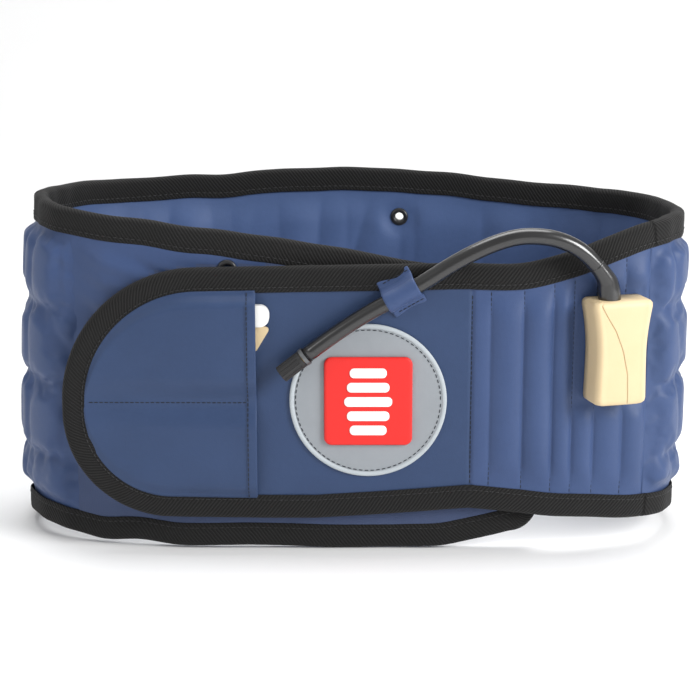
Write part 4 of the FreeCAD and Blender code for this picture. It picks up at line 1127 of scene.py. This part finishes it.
HEM = 6 * MM
hem_share = np.linspace(0, math.pi, 7)
hem_x = np.concatenate([np.linspace(POCKET_MOUTH - HEM, POCKET_MOUTH, 8),
                        POCKET_MOUTH + 0.5 * MM * np.sin(hem_share)[1:]])
hem_out = np.concatenate([[0.85, 1.25, 1.45, 1.5, 1.5, 1.5, 1.5, 1.45],
                          0.6 + 0.85 * np.cos(hem_share)[1:]]) * MM
mouth_low, mouth_top = pocket_edges(POCKET_MOUTH)
hem_z = np.linspace(mouth_low + MM, mouth_top - MM, 90)
hem_xx, hem_zz = np.meshgrid(hem_x, hem_z, indexing="ij")
hem = flap_sheet("pocket_hem_fold", hem_xx, hem_zz,
                 pocket_face(np.minimum(hem_xx, POCKET_MOUTH), hem_zz) + hem_out[:, None], NAVY_FLAP_PAINTED_SHADE)
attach(hem, "flap")
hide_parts("pocket_hem")

hook_low, hook_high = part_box("hook_tape")
hook_outline = rounded_box(hook_low, hook_high, 8)
hook = slab("hook_tape_patch", hook_outline, [(0, -2.7 * MM), (0.1 * MM, -3.2 * MM), (2.4 * MM, -3.3 * MM),
                                              (2.7 * MM, -4.3 * MM), (3.6 * MM, -4.4 * MM)],
            on_flap, HOOKS)
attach(hook, "flap")
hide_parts("hook_tape")

# %% [markdown]
# # Patch, badge and bars
# The round patch is a thin disc of leatherette with a raised rim sewn through. The badge is a soft
# rubber square with rounded corners, and carries a plain column of five raised bars. All are outlines
# carried up through rounded levels.

# %% Patch and badge
patch_low, patch_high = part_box("patch_edge")
PATCH_X, PATCH_Z = (patch_low.x + patch_high.x) / 2, (patch_low.z + patch_high.z) / 2
PATCH_RADIUS = (patch_high.x - patch_low.x) / 2
PATCH_FACE = 3.8 * MM
turn = np.linspace(0, 2 * math.pi, 128, endpoint=False)


def circle_outline(radius):
    return np.column_stack([PATCH_X + radius * np.cos(turn), PATCH_Z + radius * np.sin(turn)])


disc = slab("patch_face", circle_outline(PATCH_RADIUS - 2.6 * MM),
            [(0, COVER_FACE), (0, PATCH_FACE - 0.3 * MM),
             (0.5 * MM, PATCH_FACE - 0.02 * MM), (1.4 * MM, PATCH_FACE),
             (10 * MM, PATCH_FACE + 0.05 * MM), (30 * MM, PATCH_FACE)], on_flap, GREY_PATCH)
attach(disc, "flap")
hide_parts("patch_disc")
rim = slab("patch_rim", circle_outline(PATCH_RADIUS),
           [(0.1 * MM, COVER_FACE - 0.2 * MM), (0, PATCH_FACE - 0.2 * MM), (0.25 * MM, PATCH_FACE + 0.2 * MM),
            (0.7 * MM, PATCH_FACE + 0.42 * MM), (1.5 * MM, PATCH_FACE + 0.45 * MM),
            (2.2 * MM, PATCH_FACE + 0.35 * MM),
            (2.6 * MM, PATCH_FACE + 0.05 * MM), (2.9 * MM, PATCH_FACE - 0.4 * MM)], on_flap, PATCH_RIM)
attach(rim, "flap")
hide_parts("patch_edge")

badge_low, badge_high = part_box("badge")
BADGE_FACE = FRONT_Y - badge_low.y
badge_outline = divided(rounded_box(badge_low, badge_high, 4.5, 10), 2.5 * MM)
badge = slab("badge_block", badge_outline,
             [(0.2 * MM, PATCH_FACE), (0, PATCH_FACE + 0.5 * MM), (0, BADGE_FACE - 1.1 * MM),
              (0.25 * MM, BADGE_FACE - 0.5 * MM), (0.8 * MM, BADGE_FACE - 0.12 * MM), (1.6 * MM, BADGE_FACE),
              (3.5 * MM, BADGE_FACE - 0.02 * MM)], on_flap, RED)
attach(badge, "flap")
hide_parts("badge")
BAR_COUNT, BAR_PITCH, BAR_HEIGHT, BAR_CORNER = 5, 8.6 * MM, 5.8 * MM, 2.6
BAR_HALF, BAR_TAPER = 14.0 * MM, 1.6 * MM
BAR_LEVELS = [(0, -0.1), (0, 0.35), (0.15, 0.52), (0.5, 0.6), (1.2, 0.62)]
bar_points, bar_faces = [], []
for index in range(BAR_COUNT):
    from_middle = index - BAR_COUNT // 2
    half = BAR_HALF - BAR_TAPER * abs(from_middle)
    middle = PATCH_Z + BAR_PITCH * from_middle
    outline = rounded_box((PATCH_X - half, 0, middle - BAR_HEIGHT / 2),
                          (PATCH_X + half, 0, middle + BAR_HEIGHT / 2), BAR_CORNER)
    normals = outline_normals(outline)
    start = sum(len(points) for points in bar_points)
    for inset, height in BAR_LEVELS:
        ring = outline - normals * inset * MM
        bar_points.append(on_flap(np.column_stack([ring, np.full(len(ring), BADGE_FACE + height * MM)])))
    around_bar = len(outline)
    bar_faces += [tuple(int(k) + start for k in face)
                  for face in grid_faces(len(BAR_LEVELS), around_bar, close_rows=True, flip=True)]
    last_ring = start + (len(BAR_LEVELS) - 1) * around_bar
    bar_faces.append(tuple(range(last_ring, last_ring + around_bar)))
bars = make_piece("badge_bar_column", np.concatenate(bar_points), bar_faces, None, WHITE)
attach(bars, "flap")
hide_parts("badge_bars")

# %% [markdown]
# # Hose loop, sleeve and inlet housing
# A strip of the same cloth goes over the hose and is sewn down on both sides. The hose swells into a
# short sleeve where it enters the cream housing. The housing's sides draw in at the waist, its front
# bulges a little, and a curved parting line runs down it: rows of a closed grid follow that line, so
# that it can be pressed in as a real groove.

# %% Hose loop
LOOP_X = 29 * MM
nearest = int(np.argmin(np.abs(hose_line[:, 0] - LOOP_X)))
loop_at = hose_line[nearest]
loop_along = hose_line[nearest + 2] - hose_line[nearest - 2]
loop_along[1] = 0
loop_along /= np.linalg.norm(loop_along)
loop_across = np.array([-loop_along[2], 0, loop_along[0]])
LOOP_LENGTH = 21 * MM
crown = FRONT_Y - loop_at[1]
wrap = np.radians(np.linspace(-8, 188, 19))
wrap_radius = HOSE_RADIUS + 0.9 * MM
foot_across = np.array([11.4, 9.0, 7.4, 6.4]) * MM
foot_out = np.array([3.2, 3.3, 3.8, 5.6]) * MM
strip_across = np.concatenate([foot_across, wrap_radius * np.cos(wrap), -foot_across[::-1]])
strip_out = np.concatenate([foot_out, crown + wrap_radius * np.sin(wrap), foot_out[::-1]])
along_strip = np.linspace(-LOOP_LENGTH / 2, LOOP_LENGTH / 2, 15)
snug = 1 - 0.05 * np.cos(along_strip / LOOP_LENGTH * 2 * math.pi)
strip_points = (np.array([loop_at[0], FRONT_Y, loop_at[2]]) + along_strip[:, None, None] * loop_along
                + (strip_across[None, :, None] * snug[:, None, None]) * loop_across
                + np.broadcast_to(strip_out[None, :, None], (15, len(strip_out), 1)) * np.array([0, -1.0, 0]))
strip_uv = np.stack(np.meshgrid(along_strip, strip_across, indexing="ij"), axis=-1)
loop = grid_piece("hose_loop_strip", strip_points, strip_uv, NAVY)
solid = loop.modifiers.new("cloth", "SOLIDIFY")
solid.thickness, solid.offset = 1.1 * MM, 0.0
smoother(loop)
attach(loop, "flap")
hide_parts("hose_loop")

# %% Sleeve and housing
SLEEVE_X = 149.25 * MM
ELBOW_RADIUS = 4.0 * MM
sleeve_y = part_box("inlet_elbow")[0].y + ELBOW_RADIUS
sleeve_line = spline_line([(SLEEVE_X, sleeve_y, HOUSING_HIGH - 2 * MM),
                           (SLEEVE_X - 0.25 * MM, sleeve_y, 162 * MM),
                           hose_points[0], tuple(hose_line[4])])
share = np.linspace(0, 1, len(sleeve_line))
sleeve_radii = (6.7 - 1.85 * step_up(share, 0.1, 1.0)) * MM
sleeve = tube("hose_sleeve", sleeve_line, sleeve_radii, RUBBER)
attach(sleeve, "belt")
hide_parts("hose_boot")

# The housing's own sizes are in millimetres, because its rings are drawn before they are placed.
LOW, HIGH = HOUSING_LOW / MM, HOUSING_HIGH / MM
DEPTH, CORNER, WAIST_Z, HALF_TALL = 20.0, 4.2, (LOW + HIGH) / 2, (HIGH - LOW) / 2
WAIST_HALF, TOP_FLARE, FOOT_FLARE = 15.5, 4.0, 0.75
GROOVE_STEPS = np.array([-0.42, -0.3, 0, 0.3, 0.42])
GROOVE_DIP = np.array([0, 0.45, 0.55, 0.45, 0])
foot_heading = float(np.interp(HOUSING_S, line_s, line_h))
foot = place(HOUSING_S, FACE + 0.3 * MM, 0.0)
wide = np.array([math.cos(foot_heading), math.sin(foot_heading), 0])
forward = np.array([math.sin(foot_heading), -math.cos(foot_heading), 0])
end_heights = np.array([0.0, 0.15, 0.8, 2.0, 4.0])
end_insets = np.array([4.2, 2.9, 1.4, 0.4, 0.0])
middle_heights = np.linspace(100, 148, 22)
heights = np.concatenate([LOW + end_heights, middle_heights, HIGH - end_heights[::-1]])
ends = np.concatenate([end_insets, np.zeros(len(middle_heights)), end_insets[::-1]])
PARTING = [(93.0, 3.4), (112.0, 2.6), (126.0, -0.6), (138.0, -5.4), (147.0, -11.0), (155.0, -15.5)]


def housing_half(z):
    """Half the housing's width at a height: narrow at the waist, widest at the top."""
    above = np.clip((z - WAIST_Z) / HALF_TALL, 0, 1)
    below = np.clip((WAIST_Z - z) / HALF_TALL, 0, 1)
    return WAIST_HALF + TOP_FLARE * above ** 1.8 + FOOT_FLARE * below ** 1.6


def housing_ring(z, end):
    """One level of the housing, anticlockwise from its back left edge, as (across, out) points."""
    half = float(housing_half(z)) - end
    depth = DEPTH - 0.3 * ((z - WAIST_Z) / HALF_TALL) ** 2 - end * 0.8
    side_depths = np.array([0.0, depth * 0.3, depth * 0.62, depth - CORNER])
    turn = math.pi / 2 * np.arange(1, 6) / 6
    corner_in, corner_down = CORNER * (1 - np.cos(turn)), CORNER * (1 - np.sin(turn))
    parting = float(np.interp(z, [at for at, x in PARTING], [x for at, x in PARTING]))
    near = max(-half + 4.6, parting)
    front_x = np.concatenate([np.linspace(-half + CORNER, near - 0.75, 6), near + GROOVE_STEPS,
                              np.linspace(near + 0.75, half - CORNER, 10)])
    dip = np.concatenate([np.zeros(6), GROOVE_DIP * (end < 1.0), np.zeros(10)])
    front = depth - 0.6 + 0.6 * (1 - (front_x / half) ** 2) - dip
    xs = np.concatenate([np.full(4, -half), -half + corner_in, front_x, (half - corner_in)[::-1],
                         np.full(4, half), np.linspace(half, -half, 10)[1:-1]])
    ys = np.concatenate([side_depths, depth - corner_down, front, (depth - corner_down)[::-1],
                         side_depths[::-1], np.zeros(8)])
    return np.column_stack([xs, ys]) * MM


housing_rings = []
for z, end in zip(heights, ends):
    ring = housing_ring(z, end)
    housing_rings.append(foot + ring[:, :1] * wide + ring[:, 1:] * forward + np.array([0, 0, z * MM]))
housing_points = np.array(housing_rings)
levels_up, ring = housing_points.shape[:2]
housing = make_piece("inlet_housing", housing_points.reshape(-1, 3), closed_faces(levels_up, ring),
                     None, CREAM)
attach(housing, "belt")
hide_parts("housing_front", "housing_back")
print("housing", levels_up, "levels of", ring, "points")

# %% [markdown]
# # Eyelets
# Each eyelet is a painted metal ring with a rolled rim, turned as one section round its axis. The one
# in the back goes through the whole wall and has a rim on both faces.

# %% Eyelets
def eyelet(name, centre, outward, section, node_name):
    """A turned ring from a closed section of (radius, distance along the axis)."""
    outward = np.asarray(outward, float) / np.linalg.norm(outward)
    side = np.cross(outward, (0, 0, 1.0))
    side /= np.linalg.norm(side)
    up = np.cross(side, outward)
    angle = np.linspace(0, 2 * math.pi, 40, endpoint=False)
    section = np.array(section) * MM
    spokes = np.cos(angle)[:, None] * side + np.sin(angle)[:, None] * up
    points = centre + spokes[:, None] * section[None, :, :1] + section[None, :, 1:] * outward
    faces = grid_faces(len(angle), len(section), close_columns=True, close_rows=True)
    piece = make_piece(name, points.reshape(-1, 3), faces, None, BLACK_PAINT)
    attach(piece, "belt")
    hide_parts(node_name)
    return piece


heading = float(np.interp(EYELET_S, line_s, line_h))
inward = np.array([-math.sin(heading), math.cos(heading), 0])
wall_middle = place(EYELET_S, 0.0, BACK_EYELET.z)
both_rims = [(2.7, -2.6), (2.7, 2.6), (3.0, 3.3), (3.8, 3.75), (4.9, 3.6), (5.7, 3.0), (5.8, 2.3), (3.3, 2.2),
             (3.3, -2.2), (5.8, -2.5), (5.7, -3.2), (4.9, -3.7), (3.8, -3.8), (3.0, -3.4)]
eyelet("back_eyelet_ring", wall_middle, inward, both_rims, "back_eyelet")
under_face = np.array([UNDER_EYELET.x, under_low.y, UNDER_EYELET.z])
one_rim = [(2.7, -2.6), (2.7, -0.4), (3.0, 0.1), (3.8, 0.45), (4.9, 0.35), (5.7, -0.2), (5.8, -0.8),
           (3.4, -0.9), (3.4, -2.6)]
eyelet("under_eyelet_ring", under_face, (0, -1, 0), one_rim, "under_eyelet")

# %% [markdown]
# # Stitching
# Rows of stitches hold the tapes, the pocket, the patch and the seam. Each stitch is a short rounded
# bar that dips at both ends, and a whole row is one mesh.

# %% Stitches
def stitches(name, lines, material, body, spacing=3.3 * MM, length=2.3 * MM, radius=0.28 * MM, sink=0.35):
    """Rows of stitches. Each line is (points, points a little further out), and body is None at the seam."""
    points, faces = [], []
    for line, outer in lines:
        travel = travelled(line)
        for middle in np.arange(spacing / 2, travel[-1] - spacing / 2, spacing):
            ends_at = middle + np.array([-0.5, -0.3, 0.3, 0.5]) * length
            centre = np.stack([np.interp(ends_at, travel, line[:, k]) for k in range(3)], axis=1)
            away = np.array([np.interp(middle, travel, (outer - line)[:, k]) for k in range(3)])
            away /= np.linalg.norm(away)
            along = centre[-1] - centre[0]
            along /= np.linalg.norm(along)
            side = np.cross(along, away)
            first = len(points) * 24
            rings = []
            for at, (size, down) in zip(centre, ((0.4, 1.0), (1, 0), (1, 0), (0.4, 1.0))):
                angle = np.arange(6) * math.pi / 3
                rings.append(at - away * radius * (sink * down) + radius * size
                             * (np.cos(angle)[:, None] * side + np.sin(angle)[:, None] * away))
            points.append(np.concatenate(rings))
            faces += [tuple(int(k) + first for k in f) for f in grid_faces(4, 6, close_rows=True)]
    piece = make_piece(name, np.concatenate(points), faces, None, material)
    if body:
        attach(piece, body)
    else:
        bend_at_seam(piece)
    return piece


def flap_row(x, z, out):
    """A line on the flap, and the same line a millimetre further out."""
    x, z, out = np.broadcast_arrays(x, z, out)
    here = np.stack([x, FRONT_Y - out, z], axis=-1)
    return here, here - np.array([0, MM, 0])


stitches("front_tape_stitches", front_rows, BLACK_PLASTIC, None)
stitches("ring_tape_stitches", ring_rows, BLACK_PLASTIC, "belt", spacing=3.6 * MM)
row_z = np.linspace(mouth_low, mouth_top, 60)
row_x = POCKET_MOUTH - 4.7 * MM
hem_row = flap_row(row_x, row_z, pocket_face(np.full_like(row_z, row_x), row_z) + 1.5 * MM)
seam_x = np.linspace(FLAP_TIP + 16 * MM, POCKET_MOUTH - 0.5 * MM, 60)
seam_row = flap_row(seam_x, POCKET_SEAM, pocket_face(seam_x, np.full_like(seam_x, POCKET_SEAM)) + 0.85 * MM)
stitches("pocket_stitches", [hem_row, seam_row], THREAD_DARK, "flap", spacing=3.0 * MM)
circle = np.linspace(0, 2 * math.pi, 160)
stitch_radius = PATCH_RADIUS - 3.6 * MM
patch_row = flap_row(PATCH_X + stitch_radius * np.cos(circle), PATCH_Z + stitch_radius * np.sin(circle),
                     PATCH_FACE + 0.1 * MM)
stitches("patch_stitches", [patch_row], THREAD_DARK, "flap", spacing=3.4 * MM)
ROW_CLEAR = 15.5 * MM            # from the belt's edge to the end of a row between columns


def column_row(seam_s, out_at, count):
    """A row up the belt at one distance along it, and the same row a millimetre further out."""
    z = np.linspace(float(bottom_at(seam_s)) + ROW_CLEAR, float(top_at(seam_s)) - ROW_CLEAR, count)
    at = np.full_like(z, seam_s)
    out = out_at(at, z)
    return place(at, out, z), place(at, out + MM, z)


column_rows = [column_row(seam_s, lambda s, z: front_face(s, z) + 0.12 * MM, 60)
               for seam_s in [0.0, *COLUMN_SEAMS[1:-1]]]
stitches("front_seam_stitches", column_rows[:1], THREAD_DARK, None, spacing=3.0 * MM)
stitches("column_stitches", column_rows[1:], THREAD_DARK, "belt", spacing=3.0 * MM, radius=0.22 * MM)
back_rows = [column_row(seam_s, lambda s, z: FACE + 0.1 * MM, 70) for seam_s in BACK_COLUMNS]
stitches("back_stitches", back_rows, THREAD_DARK, "belt", spacing=3.6 * MM, radius=0.22 * MM)
loop_rows = []
for side in (-9.6, 9.6):
    t = np.linspace(-LOOP_LENGTH / 2 + MM, LOOP_LENGTH / 2 - MM, 12)
    foot_middle = np.array([loop_at[0], FRONT_Y - 3.9 * MM, loop_at[2]]) + side * MM * loop_across
    line = foot_middle + t[:, None] * loop_along
    loop_rows.append((line, line - np.array([0, MM, 0])))
stitches("loop_stitches", loop_rows, THREAD_DARK, "flap", spacing=2.8 * MM)

# %% [markdown]
# # Carried-over parts
# The valve, its cap, the screws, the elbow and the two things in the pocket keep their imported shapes,
# and get their finishes here.

# %% Finishes for the carried-over parts
CARRIED = {
    "hose_ferrule": DULL_STEEL, "valve_stem": BRASS, "valve_core": BRASS, "valve_pin": BRASS,
    "valve_spring": STEEL, "valve_cap": BLACK_PLASTIC, "cap_gasket": BLACK_PLASTIC,
    "release_cap": WHITE_PLASTIC, "adapter": CREAM,
    "inlet_elbow": BLACK_PLASTIC, "housing_screws": STEEL}
for name, material in CARRIED.items():
    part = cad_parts[name]
    part.data.materials.clear()
    part.data.materials.append(material)
print("finished", ", ".join(CARRIED))

# %% [markdown]
# # Studio
# The floor is a pale sweep with no visible corner. One broad light stands above and to the right, a
# weaker one fills from the left, and a top light opens up the inside of the ring.

# %% Floor, lights and world
def matt(name, colour, roughness):
    material = bpy.data.materials.new(name)
    material.use_nodes = True
    shader = material.node_tree.nodes["Principled BSDF"]
    shader.inputs["Base Color"].default_value = (*colour, 1)
    shader.inputs["Roughness"].default_value = roughness
    return material


sweep_y = np.concatenate([[-3.0], np.linspace(1.2, 2.2, 12)])
sweep_z = np.concatenate([[0.0], 1.0 - np.sqrt(np.maximum(1.0 - (sweep_y[1:] - 1.2) ** 2, 0))])
sweep_y, sweep_z = np.append(sweep_y, 2.2), np.append(sweep_z, 3.0)
floor_points = np.array([[(x, y, z - 0.2 * MM) for y, z in zip(sweep_y, sweep_z)] for x in (-4.0, 4.0)])
floor = make_piece("studio_floor", floor_points.reshape(-1, 3), grid_faces(2, len(sweep_y)),
                   None, matt("pale floor", (0.90, 0.90, 0.90), 0.8))


def soft_light(name, place_at, aim, width, height, power):
    data = bpy.data.lights.new(name, "AREA")
    data.shape = "RECTANGLE"
    data.size, data.size_y, data.energy = width, height, power
    lamp = bpy.data.objects.new(name, data)
    lamp.location = place_at
    lamp.rotation_euler = (Vector(aim) - Vector(place_at)).to_track_quat("-Z", "Y").to_euler()
    bpy.context.scene.collection.objects.link(lamp)


soft_light("right_softbox", (1.5, -1.0, 0.9), (0, 0, 0.1), 0.7, 0.9, 39)
soft_light("left_fill", (-1.3, -1.1, 0.9), (0, 0, 0.1), 0.6, 0.8, 5)
soft_light("top_light", (0, 0.3, 1.7), (0, 0.05, 0.1), 1.4, 1.0, 23)
world = bpy.data.worlds.new("studio")
bpy.context.scene.world = world
world.use_nodes = True
world.node_tree.nodes["Background"].inputs["Color"].default_value = (1, 1, 1, 1)
world.node_tree.nodes["Background"].inputs["Strength"].default_value = 0.54
